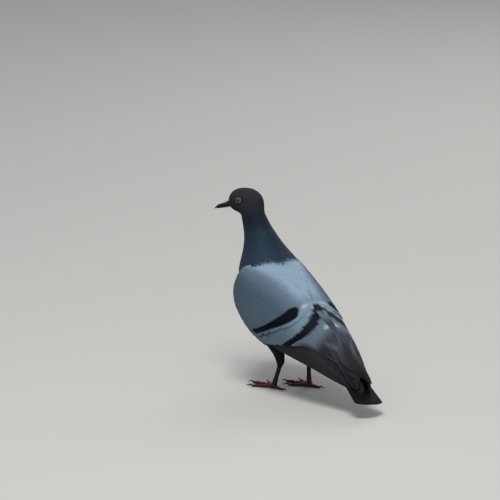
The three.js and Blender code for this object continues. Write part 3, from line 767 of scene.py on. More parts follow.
class Feathers:
    """Gathers large feathers, each a closed lens with its own place in a map, into one mesh."""

    def __init__(self):
        self.points, self.faces, self.colours = [], [], []
        self.vanes, self.owners = [], []  # for each face's corner: place on the vane, and feather's number
        self.roots = []  # for each feather: where it sits on the skin's map, or None for a large one

    def add(self, top, thickness, outward, colours, root=None):
        """top: rows x columns of points; outward: a direction for each; colours: four numbers for each."""
        rows, columns, _ = top.shape
        start = len(self.points)
        index = start + np.arange(rows * columns).reshape(rows, columns)
        inner = (slice(1, -1), slice(1, -1))
        under = index.copy()
        under[inner] = index.max() + 1 + np.arange(under[inner].size).reshape(under[inner].shape)
        self.points += [*top.reshape(-1, 3), *(top - outward * thickness)[inner].reshape(-1, 3)]
        self.colours += [*colours.reshape(-1, 4), *colours[inner].reshape(-1, 4)]
        u, v = grid(np.linspace(0, 1, rows), np.linspace(0, 1, columns))
        for numbers, turn in ((index, 1), (under, -1)):
            for r in range(rows - 1):
                for c in range(columns - 1):
                    cells = ((r, c), (r + 1, c), (r + 1, c + 1), (r, c + 1))[::turn]
                    self.faces.append(tuple(int(numbers[cell]) for cell in cells))
                    self.vanes += [(u[cell], v[cell]) for cell in cells]
                    self.owners += [len(self.roots)] * 4
        self.roots.append(root)

    def patches(self):
        """Each feather's low corner and size on the map: its root's patch, or a cell of an atlas."""
        large = [i for i, root in enumerate(self.roots) if root is None]
        across = max(1, math.ceil(math.sqrt(len(large) / 5)))
        cell = 1 / np.array((across, max(1, math.ceil(len(large) / across))))
        low = np.array([(0.0, 0.0) if root is None else np.asarray(root) - PATCH / 2 for root in self.roots])
        size = np.full(low.shape, PATCH)
        for place, i in enumerate(large):
            low[i] = cell * (place % across, place // across) + 0.05 * cell
            size[i] = 0.9 * cell
        return low, size

    def finish(self, name, material, slot, node):
        mesh = plain_mesh(name, self.points, self.faces)
        store(mesh, "plumage", self.colours, "FLOAT_COLOR")
        vanes, owners = np.array(self.vanes), np.array(self.owners)
        mesh.uv_layers.new(name="Vane").uv.foreach_set("vector", vanes.ravel())
        low, size = self.patches()
        on_map = low[owners] + size[owners] * vanes
        mesh.uv_layers.new(name="OFBake").uv.foreach_set("vector", on_map.ravel())
        return finish_piece(name, mesh, material, [node], sharp=FOLD)


def vane_shape(rows, columns, tip=0.25, root=0.25):
    """Tables of the places along a vane 0-1 and across it -1..1, and of its half width as a share."""
    t, s = grid(1 - (1 - np.linspace(0, 1, rows)) ** 1.35, np.linspace(-1, 1, columns))
    width = np.sqrt(np.clip(1 - (np.clip(t - (1 - tip), 0, None) / tip) ** 2.2, 0.004, 1))
    return t, s, width * (root + (1 - root) * ramp(t, -0.1, 0.35))


def lens(s, thickness):
    """Thickness across a vane, in metres: nothing at its edges."""
    return (thickness * MM * (1 - s**4))[..., None]


def arched(s, rise, slope):
    """Lift across a vane, in mm: highest near its shaft, and lower towards s = 1 where slope is above 0."""
    return rise * np.cos(s * 1.5) - slope * s


def wing_feather(side, along, across, lift):
    """Points and outward directions, in metres, for a vane lying over the folded wing."""
    out = wing_normal(along, across, side)
    return to_frame(wing_surface(along, across, side) + out * lift[..., None]), out


def toned(colours, rng, spread=0.05):
    """Colours with one feather's own small difference, and no gloss."""
    shade = colours * (1 + rng.uniform(-spread, spread))
    return np.concatenate([shade, np.zeros_like(shade[..., :1])], -1)


# Half widths in mm: of the first feather, and what each further one adds to it.
PRIMARY_HALF, TAIL_VANE_HALF = (4.3, 0.25), (5.4, -0.3)
# Half widths in mm: of the first feather, and what the last one adds to it.
SECONDARY_HALF, COVERT_HALF = (5.2, 3.4), (2.0, 2.6)
FLIGHT_THICKNESS, COVERT_THICKNESS, TAIL_THICKNESS = 0.12, 0.1, 0.14
PRIMARY_START = 0.34
PRIMARY_TIPS = (0, 0.005, 0.02, 0.05, 0.09, 0.13, 0.17, 0.21, 0.245, 0.28)  # back from the wing's tip
SECONDARY_COUNT = 24
COVERT_ROWS, COVERT_REACH = 17, 0.45  # rows, and the share of the wing's length that they cover
TAIL_PAIRS = 6


def build_primaries(side_name, material):
    """Ten flight feathers of the hand, the innermost lying on top."""
    feathers, rng, side = Feathers(), np.random.default_rng(21), SIDES[side_name]
    tint = bpy.context.scene.pigeon_colours
    t, s, width = vane_shape(22, 9, tip=0.16, root=0.5)
    for i, back in enumerate(PRIMARY_TIPS):
        along = PRIMARY_START + (1 - back - PRIMARY_START) * t
        half = (PRIMARY_HALF[0] + PRIMARY_HALF[1] * i + 1.8 * ramp(along, 0.8, 0.95)) * width
        chord = wing_chord(along)
        low_edge = (0.4 + 3.4 * i * (1 - 0.55 * t)) / chord + 0.02
        across = np.clip(low_edge + half / chord + s * half / chord, 0.005, 1.1)
        lift = -2.9 + 0.1 * i + arched(s, 0.2, 0.1) - 0.6 * (1 - t)
        points, out = wing_feather(side, along, across, lift)
        base = np.broadcast_to(np.array(tint.flight), (*along.shape, 3))
        base = mixed(base, tint.tail_band, 0.9 * ramp(along, 0.72, 0.92))
        pale = 0.45 * ramp(-s, 0.7, 1.0) + 0.2 * ramp(t, 0.94, 1.0)
        feathers.add(points, lens(s, FLIGHT_THICKNESS), out, toned(mixed(base, tint.flight_edge, pale), rng))
    return feathers.finish(f"primaries_{side_name}", material, "flight_feathers",
                           f"wing_{side_name}_primaries")


def secondary_colours(along, across, s, tip_along, place):
    """The wing's own markings, with a pale fringe round each vane and paler inner edges on the tertials."""
    to_tip = (tip_along - along) * WING_LENGTH  # mm
    fringe = 0.14 * ramp(-s, 0.85, 1.0) + 0.2 * (1 - ramp(to_tip, 0.4, 1.8))
    inner = ramp(s, 0.45, 0.95) * ramp(along, 0.62, 0.70) * (1 - ramp(along, 0.74, 0.88))
    share = fringe * ramp(along, 0.62, 0.68) + 0.4 * place * inner
    return mixed(wing_colours(along, across), bpy.context.scene.pigeon_colours.wing_panel, share)


def build_secondaries(side_name, material):
    """Flight feathers of the forearm and the tertials, each lying over the one outside it."""
    feathers, rng, side = Feathers(), np.random.default_rng(23), SIDES[side_name]
    past_ridge = {"left": 0.04, "right": 0.34}[side_name]  # the right wing's tips reach under the left one's
    t, s, width = vane_shape(46, 9, tip=0.2, root=0.5)
    for j in range(SECONDARY_COUNT):
        place = j / (SECONDARY_COUNT - 1)
        tip = curve_at(SECONDARY_TIPS, np.array(place * (len(SECONDARY_TIPS) - 1)))
        start = 0.22 + 0.2 * place
        along = start + (tip[0] - start) * t
        half = (SECONDARY_HALF[0] + SECONDARY_HALF[1] * place) * width
        chord = wing_chord(along)
        centre = tip[1] + 0.10 * (1 - t) * (1 - place) + 0.85 * half.max() / chord
        top = 1.02 + 0.1 * ramp(along, 0.45, 0.6) + past_ridge * ramp(along, 0.7, 0.88)
        centre = np.minimum(centre, top - half.max() / chord)
        across = np.clip(centre + s * half / chord, 0.01, top)
        lift = -1.75 + 0.07 * j + arched(s, 0.22, 0.1) - 0.7 * (1 - t)
        points, out = wing_feather(side, along, across, lift)
        colours = toned(secondary_colours(along, across, s, tip[0], place), rng)
        feathers.add(points, lens(s, FLIGHT_THICKNESS), out, colours)
    return feathers.finish(f"secondaries_{side_name}", material, "flight_feathers",
                           f"wing_{side_name}_secondaries")


def build_coverts(side_name, material, skin_roots):
    """Rows of coverts from the wing's front edge to the root of the flight feathers."""
    feathers, rng, side = Feathers(), np.random.default_rng(27), SIDES[side_name]
    for row in range(COVERT_ROWS):
        f = ((row + 1) / COVERT_ROWS) ** 1.3
        step = 1.3 * (row + 1) ** 0.3 / COVERT_ROWS**1.3 * COVERT_REACH * WING_LENGTH  # mm to the next row
        great = row >= COVERT_ROWS - 2
        t, s, width = vane_shape(*((14, 9) if great else (10, 7)), tip=0.42, root=0.4)
        half_width = COVERT_HALF[0] + COVERT_HALF[1] * f
        count = int(round(wing_chord(0.02 + 0.43 * f) / half_width))
        for k in range(count + 1):
            c = (k + 0.5 * (row % 2) + rng.uniform(-0.25, 0.25)) / count
            if not 0 <= c <= 1.0:
                continue
            tip = 0.02 + (first_bar(np.array(c)) + 0.006 + 0.018 * ramp(c, 0.1, 0.6)) * f
            tip += rng.uniform(-0.3, 0.3) * (0 if great else step) / WING_LENGTH
            length = 2.5 * step * rng.uniform(0.94, 1.06) / WING_LENGTH
            along = np.clip(tip - length * (1 - t), 0.0, 1.0)
            across = np.clip(c - 0.02 * (1 - t) + s * half_width * width / wing_chord(along), 0.0, 1.03)
            sink = 1.35 * ramp(across, 0.84, 0.97) + 1.1 * ramp(across, 0.92, 1.02)
            lift = -0.65 - 0.2 * f + (0.45 - 0.15 * f * (1 - c)) * t + arched(s, 0.12, 0.05)
            lift = lift - sink * (1 - ramp(along, 0.42, 0.55)) + rng.uniform(0, 0.06)
            points, out = wing_feather(side, along, across, lift)
            colours = toned(wing_colours(along, across), rng, 0.025)
            root = None if great else skin_roots(points[0, points.shape[1] // 2])
            feathers.add(points, lens(s, COVERT_THICKNESS), out, colours, root)
    return feathers.finish(f"coverts_{side_name}", material, "wing_plumage", f"wing_{side_name}_coverts")


def build_tail(material):
    """Six pairs of tail feathers, the middle pair lying over the rest."""
    feathers, rng = Feathers(), np.random.default_rng(31)
    tint = bpy.context.scene.pigeon_colours
    t, s, width = vane_shape(24, 9, tip=0.045, root=0.5)
    for k in range(TAIL_PAIRS):
        for hand in (1, -1):
            u = (k + 0.5) / (TAIL_PAIRS + 0.35)
            reach = TAIL_LENGTH - TAIL_ROUND * u * u
            along = reach * t
            spread = TAIL_HALF[0] + (TAIL_HALF[1] - TAIL_HALF[0]) * along / TAIL_LENGTH
            half = (TAIL_VANE_HALF[0] + TAIL_VANE_HALF[1] * k) * width
            aside = hand * u * (spread - 5.0) + s * half
            lift = 1.0 - 0.26 * k - (0.06 if hand < 0 else 0) + arched(s, 0.3, 0.1 * hand)
            points = to_frame(tail_surface(along, aside, lift))
            out = np.broadcast_to(TAIL_UP, points.shape)
            base = mixed(np.array(tint.tail), tint.tail_band, ramp(along, reach - 31, reach - 23))
            feathers.add(points, lens(s, TAIL_THICKNESS), out, toned(base, rng))
    return feathers.finish("tail_feathers", material, "tail_feathers", "tail")


# ---------------------------------------------------------------- head and feet


def ring_faces(rings, around):
    """Quads round a stack of closed rings, with both ends capped."""
    faces = [tuple(range(around - 1, -1, -1))]
    for a in range(0, (rings - 1) * around, around):
        for i in range(around):
            j = (i + 1) % around
            faces.append((a + i, a + j, a + around + j, a + around + i))
    faces.append(tuple(range((rings - 1) * around, rings * around)))
    return faces


def torus_faces(major, minor):
    """Quads over a closed ring of closed rings."""
    faces = []
    for i in range(major):
        here, there = i * minor, (i + 1) % major * minor
        for j in range(minor):
            k = (j + 1) % minor
            faces.append((here + j, there + j, there + k, here + k))
    return faces


def closed_mesh(name, points, faces):
    """A closed mesh from a table of points in metres, every face turned outward."""
    mesh = plain_mesh(name, points.reshape(-1, 3), faces)
    shape = bmesh.new()
    shape.from_mesh(mesh)
    bmesh.ops.recalc_face_normals(shape, faces=shape.faces)
    shape.to_mesh(mesh)
    shape.free()
    return mesh


def full_turn(steps):
    return np.linspace(0, 2 * math.pi, steps, endpoint=False)


def eye_frame(side_name):
    """The eye's centre, and three directions square to each other: outward first."""
    centre = np.mean(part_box(f"eye_{side_name}"), axis=0)
    axis = unit(HEAD_SIDE * SIDES[side_name] + HEAD_FORWARD * 0.16 + UP * 0.04)
    first = unit(np.cross(axis, UP))
    return centre, (axis, first, np.cross(first, axis))


def iris_colours(off, turn):
    """Colours of an eye's front, by mm from its axis: black pupil, ringed and streaked iris, dark rim."""
    tint = bpy.context.scene.pigeon_colours
    pupil, rim = EYE["pupil"], EYE["iris"]
    fibres = 0.5 + 0.5 * np.sin(turn * 23 + 1.7 * np.sin(turn * 5)) * ramp(off, pupil, rim)
    iris = mixed(np.array(tint.iris_edge), tint.iris, 1 - ramp(off, 2.0, rim))
    iris = mixed(iris, tint.iris_ring, 0.7 * (1 - ramp(off, pupil + 0.1, pupil + 0.7)))
    iris = iris * (0.82 + 0.3 * fibres)[..., None]
    colour = mixed(iris, EYE_BLACK, 1 - ramp(off, pupil - 0.12, pupil + 0.08))
    return mixed(colour, EYE_RIM, ramp(off, rim - 0.1, rim + 0.1))


def build_eye(side_name):
    """A glossy eyeball with iris, pupil and a slightly domed front."""
    centre, axes = eye_frame(side_name)
    rings, around = 48, 64
    polar, turn = grid(np.linspace(0.004, math.pi - 0.004, rings), full_turn(around))
    front = polar < 1.5
    off = EYE["radius"] * np.sin(polar)
    dome = 1 + 0.05 * np.exp(-((off / 2.2) ** 2)) * front
    points = along_axes(axes, (EYE["radius"] * np.cos(polar) * dome, off * np.cos(turn), off * np.sin(turn)))
    name = f"eyeball_{side_name}"
    mesh = closed_mesh(name, centre + points * MM, ring_faces(rings, around))
    colour = np.where(front[..., None], iris_colours(off, turn), EYE_BACK)
    store(mesh, "plumage", np.concatenate([colour, np.zeros_like(colour[..., :1])], 2), "FLOAT_COLOR")
    material = painted_material("Eye", roughness=0.25, coat=0.3)
    return finish_piece(name, mesh, material, [f"eye_{side_name}"])


def build_lid(side_name, material):
    """The bare ring of skin round an eye, rippled and a little flatter than round."""
    centre, axes = eye_frame(side_name)
    around, minor = 64, 16
    turn, tube = grid(full_turn(around), full_turn(minor))
    ripple = 1 + 0.06 * np.sin(turn * 19)
    out = LID["out"] + LID["half_width"] * np.cos(tube) * ripple
    rise = LID["rise"] + LID["half_height"] * (np.sin(tube) * ripple - np.cos(tube))
    flat = 1 - 0.1 * np.abs(np.sin(turn))
    points = along_axes(axes, (rise, out * np.cos(turn), out * np.sin(turn) * flat))
    name = f"eye_ring_{side_name}"
    mesh = closed_mesh(name, centre + points * MM, torus_faces(around, minor))
    return finish_piece(name, mesh, material)


def build_jaw(half, material):
    """One half of the bill, drooping and hooked at its tip; the upper one has nostril slits."""
    upper = half == "upper"
    rings, around = 34, 32
    t, angle = grid(np.linspace(0, 1, rings), np.linspace(0, math.pi, around))
    length = BILL["length"] - (0 if upper else BILL["overhang"])
    taper = np.sqrt(1 - 0.93 * t**2.4)
    along = BILL["along"] + length * t * math.cos(BILL["droop"])
    hook = BILL["hook"] * (t * length / BILL["length"]) ** 4
    axis = BILL["rise"] - length * t * math.sin(BILL["droop"]) - hook
    side = np.cos(angle) * BILL["width"] * taper * (1 - 0.12 * np.sin(angle) ** 4)
    swell = 1 + 0.22 * np.exp(-(((t - 0.82) / 0.14) ** 2))
    slit = 0.35 * np.exp(-(((t - 0.34) / 0.09) ** 2) - (((np.abs(np.cos(angle)) - 0.72) / 0.16) ** 2))
    if upper:
        lift = np.sin(angle) ** 0.92 * (BILL["upper"] * swell * taper) + 0.12 - slit
        side = side * (1 - 0.16 * slit)
    else:
        lift = -(np.sin(angle) ** 0.92 * (BILL["lower"] * taper) + 0.12)
    points = to_frame(head_point(side, along, axis + lift))
    name = f"{half}_jaw"
    return finish_piece(name, closed_mesh(name, points, ring_faces(rings, around)), material,
                        [f"bill_{half}"])


def rounded(nodes, voxel, passes):
    """CAD nodes joined and rounded off; voxel in mm."""
    mesh = remeshed(solid_copy(nodes), voxel * MM)
    place_vertices(mesh, relaxed(mesh, coordinates(mesh), passes))
    return mesh


def shank_lengthened(places):
    """Draws a leg's top 5 mm on into the thigh, along the shank, so that no gap shows under the feathers."""
    height = places[:, 2]
    shank, hock = (places[np.abs(height - z) < 2 * MM].mean(0) for z in (12 * MM, height.max() - 2 * MM))
    share = ramp(height, height.max() - 7 * MM, height.max())
    return places + unit(hock - shank) * (5 * MM * share)[:, None]


def build_leg(side_name, material):
    """Tarsus and toes in one skin, ringed with scutes down the front and along the toes."""
    nodes = [f"tarsus_{side_name}", *[f"toe_{side_name}_{toe}" for toe in TOES]]
    mesh = rounded(nodes, voxel=0.35, passes=5)
    places, normals = coordinates(mesh), vertex_normals(mesh)
    ankle = places[np.abs(places[:, 2] - 5 * MM) < MM, :2].mean(0)
    places = shank_lengthened(places)
    reach = np.linalg.norm(places[:, :2] - ankle, axis=1)
    on_toe = 1 - ramp(places[:, 2], 5.5 * MM, 7.5 * MM)
    run = (places[:, 2] * (1 - on_toe) + reach * on_toe) / MM
    groove = np.abs((run / SCUTE) % 1 - 0.5) * 2
    upper = ramp(normals[:, 2] * on_toe + np.abs(normals[:, 1]) * (1 - on_toe), -0.1, 0.4)
    places = places + normals * ((0.16 * (1 - groove**6) - 0.1) * upper * MM)[:, None]
    places[:, 2] = np.maximum(places[:, 2], 0)
    place_vertices(mesh, places)
    red = 1 - 0.96 * ramp(places[:, 2], 3.5 * MM, 12 * MM)  # the shank is nearly black above the foot
    store(mesh, "scute", (0.25 + 0.75 * (1 - groove**5) * upper) * red)
    return finish_piece(f"leg_{side_name}", mesh, material, nodes)


def build_claws(side_name, material):
    """Four claws, their bases drawn back into the toes and down."""
    nodes = [f"claw_{side_name}_{toe}" for toe in TOES]
    mesh = rounded(nodes, voxel=0.15, passes=4)
    places = coordinates(mesh)
    tarsus = coordinates(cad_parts[f"tarsus_{side_name}"].data)
    ankle = tarsus[tarsus[:, 2] < tarsus[:, 2].min() + 4 * MM].mean(0)
    for node in nodes:
        claw = coordinates(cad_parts[node].data)
        centre = claw.mean(0)
        near = np.linalg.norm(places - centre, axis=1) < 1.2 * np.linalg.norm(claw - centre, axis=1).max()
        inward = unit((ankle - centre) * (1, 1, 0))
        run = (places - centre) @ inward
        base = run[near].max()
        places += inward * (CLAW_ROOT * MM * near * ramp(run, base - 4.5 * MM, base - 2 * MM))[:, None]
        places[:, 2] -= CLAW_DROP * MM * near * ramp(run, base - 2 * MM, base)
    place_vertices(mesh, places)
    return finish_piece(f"claws_{side_name}", mesh, material, nodes)


# ---------------------------------------------------------------- materials


def new_material(name):
    """A new material and its empty graph."""
    material = bpy.data.materials.new(name)
    material.use_nodes = True
    material.node_tree.nodes.clear()
    return material, Graph(material.node_tree)


def shaded(g, inputs):
    """Ends a material's graph with its shader."""
    shader = g.add("ShaderNodeBsdfPrincipled", inputs)
    g.add("ShaderNodeOutputMaterial", {"Surface": shader.outputs[0]})


def bumped(g, strength, distance, height):
    return g.add("ShaderNodeBump", {"Strength": strength, "Distance": distance, "Height": height}).outputs[0]


def barb_group():
    """Barbs either side of a shaft, from a vane's own map: a shade near 1 and a height."""
    known = bpy.data.node_groups.get("Barbs")
    if known:
        return known
    tree = bpy.data.node_groups.new("Barbs", "ShaderNodeTree")
    for name, way, kind in (("Vane", "INPUT", "Vector"), ("Barbs", "INPUT", "Float"),
                            ("Shade", "OUTPUT", "Float"), ("Height", "OUTPUT", "Float")):
        tree.interface.new_socket(name, in_out=way, socket_type=f"NodeSocket{kind}")
    g = Graph(tree)
    source = g.add("NodeGroupInput").outputs
    split = g.add("ShaderNodeSeparateXYZ", {0: source["Vane"]}).outputs
    aside = g.math("ABSOLUTE", g.math("SUBTRACT", split["Y"], 0.5))
    slant = g.math("SUBTRACT", split["X"], g.math("MULTIPLY", aside, 0.5))
    wave = g.math("SINE", g.math("MULTIPLY", slant, source["Barbs"]))
    shaft = g.math("LESS_THAN", aside, 0.022)
    pale_edge = g.math("MULTIPLY", g.math("POWER", g.math("MULTIPLY", aside, 2.0), 6.0), 0.1)
    shade = g.math("ADD", g.math("MULTIPLY", wave, 0.05), 0.99)
    shade = g.math("SUBTRACT", shade, g.math("MULTIPLY", shaft, 0.12))
    shade = g.math("ADD", shade, pale_edge)
    height = g.math("ADD", g.math("MULTIPLY", wave, 0.3), shaft)
    g.add("NodeGroupOutput", {"Shade": shade, "Height": height})
    return tree


def feather_material(name, barbs, roughness, bump):
    """Feathers coloured by the plumage attribute, glossier and metallic where its alpha says so."""
    material, g = new_material(name)
    plumage = g.add("ShaderNodeAttribute", attribute_name="plumage").outputs
    uneven = g.add("ShaderNodeAttribute", attribute_name="uneven").outputs["Fac"]
    vane = g.add("ShaderNodeUVMap", uv_map="Vane").outputs[0]
    barbed = g.add("ShaderNodeGroup", node_tree=barb_group())
    g.feed(barbed.inputs["Vane"], vane)
    g.feed(barbed.inputs["Barbs"], barbs)
    shade = g.math("MULTIPLY", barbed.outputs["Shade"], g.math("ADD", g.math("MULTIPLY", uneven, 0.1), 0.95))
    colour = g.scaled(plumage["Color"], shade)
    facing = g.add("ShaderNodeLayerWeight", {"Blend": 0.35}).outputs["Facing"]
    turn = g.math("MULTIPLY", g.math("MULTIPLY", facing, plumage["Alpha"]), 0.5)
    sheen = (*bpy.context.scene.pigeon_colours.neck_purple, 1)
    inputs = {"Factor": turn, 6: colour, 7: sheen}  # sockets 6 and 7, and 2 of the outputs, are colours
    glint = g.add("ShaderNodeMix", inputs, data_type="RGBA").outputs[2]
    metal = g.math("MULTIPLY", plumage["Alpha"], 0.2)
    shaded(g, {"Base Color": glint, "Roughness": g.math("SUBTRACT", roughness, metal), "Metallic": metal,
               "Specular IOR Level": 0.08, "Normal": bumped(g, bump, 0.1 * MM, barbed.outputs["Height"])})
    return material


def painted_material(name, roughness, coat=0.0, share=1.0):
    """Colours straight from the plumage attribute, each times share."""
    material, g = new_material(name)
    plumage = g.add("ShaderNodeAttribute", attribute_name="plumage").outputs["Color"]
    shaded(g, {"Base Color": g.scaled(plumage, share), "Roughness": roughness, "Specular IOR Level": 0.15,
               "Coat Weight": coat, "Coat Roughness": 0.03})
    return material


def horn_material(name, colour, roughness, grain, bump, scutes=None):
    """Horn or bare skin, mottled by noise; scutes is the share of colour left where that attribute is 0."""
    material, g = new_material(name)
    place = g.add("ShaderNodeTexCoord").outputs["Object"]
    noise = g.add("ShaderNodeTexNoise", {"Vector": place, "Scale": grain, "Detail": 4.0}).outputs[0]
    shade = g.math("ADD", g.math("MULTIPLY", noise, 0.5), 0.75)
    if scutes is not None:
        mark = g.add("ShaderNodeAttribute", attribute_name="scute").outputs["Fac"]
        shade = g.math("MULTIPLY", shade, g.math("ADD", g.math("MULTIPLY", mark, 1 - scutes), scutes))
    base = g.add("ShaderNodeRGB").outputs[0]
    base.default_value = (*colour, 1)
    shaded(g, {"Base Color": g.scaled(base, shade), "Roughness": roughness, "Specular IOR Level": 0.25,
               "Normal": bumped(g, bump, 0.2 * MM, noise)})
    return material


# ---------------------------------------------------------------- stage

FLOOR_HALF = 9.0
# Lamps: name, place, width in metres and power in watts.
LAMPS = (("key", (0.5, 0.5, 2.0), 0.9, 34), ("fill", (1.2, 1.6, 0.7), 1.4, 4),
         ("rim", (-1.3, -1.0, 1.2), 0.9, 8))
LAMP_AIM = Vector((0, 0, 0.09))
VIEW_FROM = (math.radians(147), math.radians(13.5))  # azimuth and elevation
VIEW_DISTANCE, VIEW_HALF = 6.0, 0.25  # metres to the bird, and half the width seen there
VIEW_SHIFT = (-0.05555, 0.14177)  # metres right and up from the frame's origin to the middle of the view


def build_stage():
    """A pale floor, soft light and the camera."""
    scene = bpy.context.scene
    scene.view_settings.view_transform = "Standard"
    corners = [(x * FLOOR_HALF, y * FLOOR_HALF, 0) for x, y in ((-1, -1), (1, -1), (1, 1), (-1, 1))]
    mesh = plain_mesh("floor", corners, [(0, 1, 2, 3)])
    floor = bpy.data.objects.new("floor", mesh)
    scene.collection.objects.link(floor)
    material, g = new_material("Floor")
    shaded(g, {"Base Color": (*scene.pigeon_colours.floor, 1), "Roughness": 0.8})
    mesh.materials.append(material)

    world = bpy.data.worlds.new("Studio")
    world.use_nodes = True
    sky = world.node_tree.nodes["Background"].inputs
    sky["Color"].default_value = (0.92, 0.96, 1.0, 1)
    sky["Strength"].default_value = 0.42
    scene.world = world
    for name, place, size, power in LAMPS:
        lamp = bpy.data.lights.new(name, "AREA")
        lamp.size, lamp.energy = size, power
        light = bpy.data.objects.new(name, lamp)
        light.location = place
        light.rotation_euler = (LAMP_AIM - Vector(place)).to_track_quat("-Z", "Y").to_euler()
        scene.collection.objects.link(light)

    azimuth, elevation = VIEW_FROM
    back = Vector((math.sin(azimuth) * math.cos(elevation), -math.cos(azimuth) * math.cos(elevation),
                   math.sin(elevation)))
    right = (-back).cross(Vector((0, 0, 1))).normalized()
    up = right.cross(-back)
    data = bpy.data.cameras.new("camera")
    data.sensor_width = 36
    data.lens = data.sensor_width / 2 / (VIEW_HALF / VIEW_DISTANCE)
    data.clip_start, data.clip_end = 0.1, 50
    camera = bpy.data.objects.new("camera", data)
    camera.location = right * VIEW_SHIFT[0] + up * VIEW_SHIFT[1] + back * VIEW_DISTANCE
    camera.rotation_euler = (-back).to_track_quat("-Z", "Y").to_euler()
    scene.collection.objects.link(camera)
    scene.camera = camera


# ---------------------------------------------------------------- add-on


def colour_setting(code, description):
    name = description.split(",")[0].capitalize()
    return bpy.props.FloatVectorProperty(name=name, description=description, subtype="COLOR", size=3,
                                         min=0, max=1, default=linear(code))


class PigeonColours(bpy.types.PropertyGroup):
    head: colour_setting("2b2b2e", "Crown, charcoal")
    cheek: colour_setting("2a2c31", "Cheek, charcoal")
    neck_top: colour_setting("1a222e", "Throat and upper neck")
    neck: colour_setting("22323f", "Neck, under its sheen")
    neck_green: colour_setting("1c383d", "Green sheen of the neck")
    neck_purple: colour_setting("383556", "Purple sheen of the neck")
    mantle: colour_setting("8297aa", "Mantle, pale blue-grey")
    rump: colour_setting("77889a", "Rump")
    breast: colour_setting("363c4b", "Breast")
    belly: colour_setting("4f5966", "Belly")
    thigh: colour_setting("15161a", "Thighs")
    wing_high: colour_setting("5c6d7d", "Upper wing, near the back")
    # Colour of the painted highlights beside the wing bars.
    highlight_spot: colour_setting("aab6c1", "Pale spots beside the wing bars")
    wing_middle: colour_setting("465766", "Middle of the wing")
    wing_low: colour_setting("546473", "Lower wing")
    wing_panel: colour_setting("576573", "Pale panel behind the rear wing bar")
    bar: colour_setting("02060e", "Wing bars")
    flight: colour_setting("242427", "Flight feathers")
    flight_edge: colour_setting("403e3e", "Edges of the flight feathers")
    tail: colour_setting("1f2327", "Tail")
    tail_band: colour_setting("0b0b0c", "Band at the tail's end")
    iris: colour_setting("702b15", "Iris")
    iris_edge: colour_setting("40140b", "Outer edge of the iris")
    iris_ring: colour_setting("8a5120", "Inner ring of the iris")
    lid: colour_setting("43454a", "Bare ring round the eye")
    bill: colour_setting("100d0b", "Bill")
    cere: colour_setting("453f3d", "Cere, over the nostrils")
    leg: colour_setting("561823", "Legs and toes")
    claw: colour_setting("1d1a19", "Claws")
    floor: colour_setting("b9b7b3", "Floor")


class PigeonSizes(bpy.types.PropertyGroup):
    skin_grid: bpy.props.FloatProperty(
        name="Skin grid", description="Size of the skin's faces",
        default=1.2 * MM, min=0.8 * MM, max=4 * MM, unit="LENGTH", precision=4)
    feather_spacing: bpy.props.FloatProperty(
        name="Feather spacing", description="Multiplies the gap between small feathers",
        default=1.0, min=0.5, max=4)
    feather_stand: bpy.props.FloatProperty(
        name="Feather stand", description="How unevenly feathers stand off the skin",
        default=0.07 * MM, min=0, max=MM, unit="LENGTH", precision=5)


class PIGEON_OT_skin(bpy.types.Operator):
    """Make the skin under the coat"""

    bl_idname = "pigeon.skin"
    bl_label = "Skin"

    def execute(self, context):
        build_skin()
        return {"FINISHED"}


class PIGEON_OT_plumage(bpy.types.Operator):
    """Grow the small feathers over the skin"""

    bl_idname = "pigeon.plumage"
    bl_label = "Small feathers"

    def execute(self, context):
        vane = bpy.data.objects.new("vane", vane_mesh())
        context.scene.collection.objects.link(vane)
        tree = plumage_tree()
        material = feather_material("Plumage", barbs=60, roughness=0.78, bump=0.2)
        for name in COATS:
            build_plumage(bpy.data.objects["skin"], vane, tree, name, material)
        bpy.data.objects.remove(vane)
        bpy.data.node_groups.remove(tree)
        return {"FINISHED"}


class PIGEON_OT_wings(bpy.types.Operator):
    """Lay the feathers of both folded wings"""

    bl_idname = "pigeon.wings"
    bl_label = "Wings"

    def execute(self, context):
        skin_roots = skin_map(bpy.data.objects["skin"].data)
        flight = feather_material("Flight feathers", barbs=420, roughness=0.55, bump=0.25)
        wing = feather_material("Wing plumage", barbs=110, roughness=0.74, bump=0.2)
        for side_name in SIDES:
            build_primaries(side_name, flight)
            build_secondaries(side_name, flight)
            build_coverts(side_name, wing, skin_roots)
        return {"FINISHED"}


class PIGEON_OT_tail(bpy.types.Operator):
    """Lay the tail feathers"""

    bl_idname = "pigeon.tail"
    bl_label = "Tail"

    def execute(self, context):
        build_tail(feather_material("Tail feathers", barbs=420, roughness=0.6, bump=0.25))
        return {"FINISHED"}


class PIGEON_OT_eyes(bpy.types.Operator):
    """Set the eyes and the rings of skin round them"""

    bl_idname = "pigeon.eyes"
    bl_label = "Eyes"

    def execute(self, context):
        tint = context.scene.pigeon_colours
        lid = horn_material("Eye ring", tint.lid, roughness=0.6, grain=2500, bump=0.3)
        for side_name in SIDES:
            build_eye(side_name)
            build_lid(side_name, lid)
        return {"FINISHED"}


class PIGEON_OT_bill(bpy.types.Operator):
    """Shape the bill and its cere"""

    bl_idname = "pigeon.bill"
    bl_label = "Bill"

    def execute(self, context):
        tint = context.scene.pigeon_colours
        horn = horn_material("Bill", tint.bill, roughness=0.38, grain=900, bump=0.12)
        for half in ("upper", "lower"):
            build_jaw(half, horn)
        soft = horn_material("Cere", tint.cere, roughness=0.75, grain=3000, bump=0.4)
        finish_piece("soft_cere", rounded(["cere"], voxel=0.2, passes=6), soft, ["cere"])
        return {"FINISHED"}


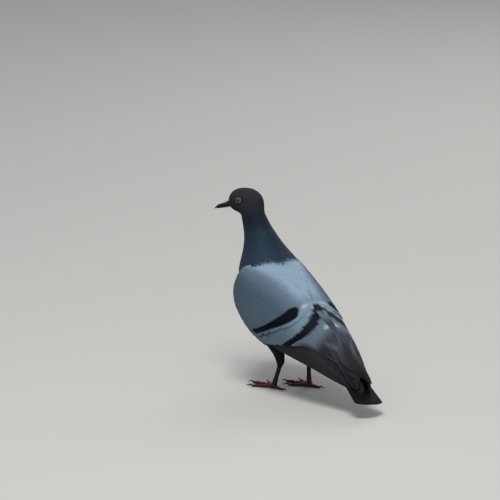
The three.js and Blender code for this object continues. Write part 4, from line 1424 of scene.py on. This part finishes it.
class PIGEON_OT_feet(bpy.types.Operator):
    """Shape the legs, toes and claws"""

    bl_idname = "pigeon.feet"
    bl_label = "Feet"

    def execute(self, context):
        tint = context.scene.pigeon_colours
        leg = horn_material("Leg skin", tint.leg, roughness=0.55, grain=1500, bump=0.25, scutes=0.07)
        claw = horn_material("Claw", tint.claw, roughness=0.35, grain=1200, bump=0.1)
        for side_name in SIDES:
            build_leg(side_name, leg)
            build_claws(side_name, claw)
        return {"FINISHED"}


class PIGEON_OT_stage(bpy.types.Operator):
    """Set out the floor, the lights and the camera"""

    bl_idname = "pigeon.stage"
    bl_label = "Stage"

    def execute(self, context):
        build_stage()
        return {"FINISHED"}


OPERATORS = (PIGEON_OT_skin, PIGEON_OT_plumage, PIGEON_OT_wings, PIGEON_OT_tail, PIGEON_OT_eyes,
             PIGEON_OT_bill, PIGEON_OT_feet, PIGEON_OT_stage)


class PIGEON_PT_panel(bpy.types.Panel):
    """Settings and steps of the pigeon"""

    bl_idname = "PIGEON_PT_panel"
    bl_label = "Pigeon"
    bl_space_type = "VIEW_3D"
    bl_region_type = "UI"
    bl_category = "Pigeon"

    def draw(self, context):
        for group in (context.scene.pigeon_sizes, context.scene.pigeon_colours):
            for name in group.__annotations__:
                self.layout.prop(group, name)
        for operator in OPERATORS:
            self.layout.operator(operator.bl_idname)


CLASSES = (PigeonColours, PigeonSizes, *OPERATORS, PIGEON_PT_panel)


def register():
    for cls in CLASSES:
        bpy.utils.register_class(cls)
    bpy.types.Scene.pigeon_colours = bpy.props.PointerProperty(type=PigeonColours)
    bpy.types.Scene.pigeon_sizes = bpy.props.PointerProperty(type=PigeonSizes)


def unregister():
    del bpy.types.Scene.pigeon_sizes
    del bpy.types.Scene.pigeon_colours
    for cls in reversed(CLASSES):
        bpy.utils.unregister_class(cls)


def main():
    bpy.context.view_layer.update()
    register()
    for operator in OPERATORS:
        group, name = operator.bl_idname.split(".")
        if getattr(getattr(bpy.ops, group), name)() != {"FINISHED"}:
            raise RuntimeError(f"{operator.bl_idname} did not finish")


if __name__ == "__main__":
    main()
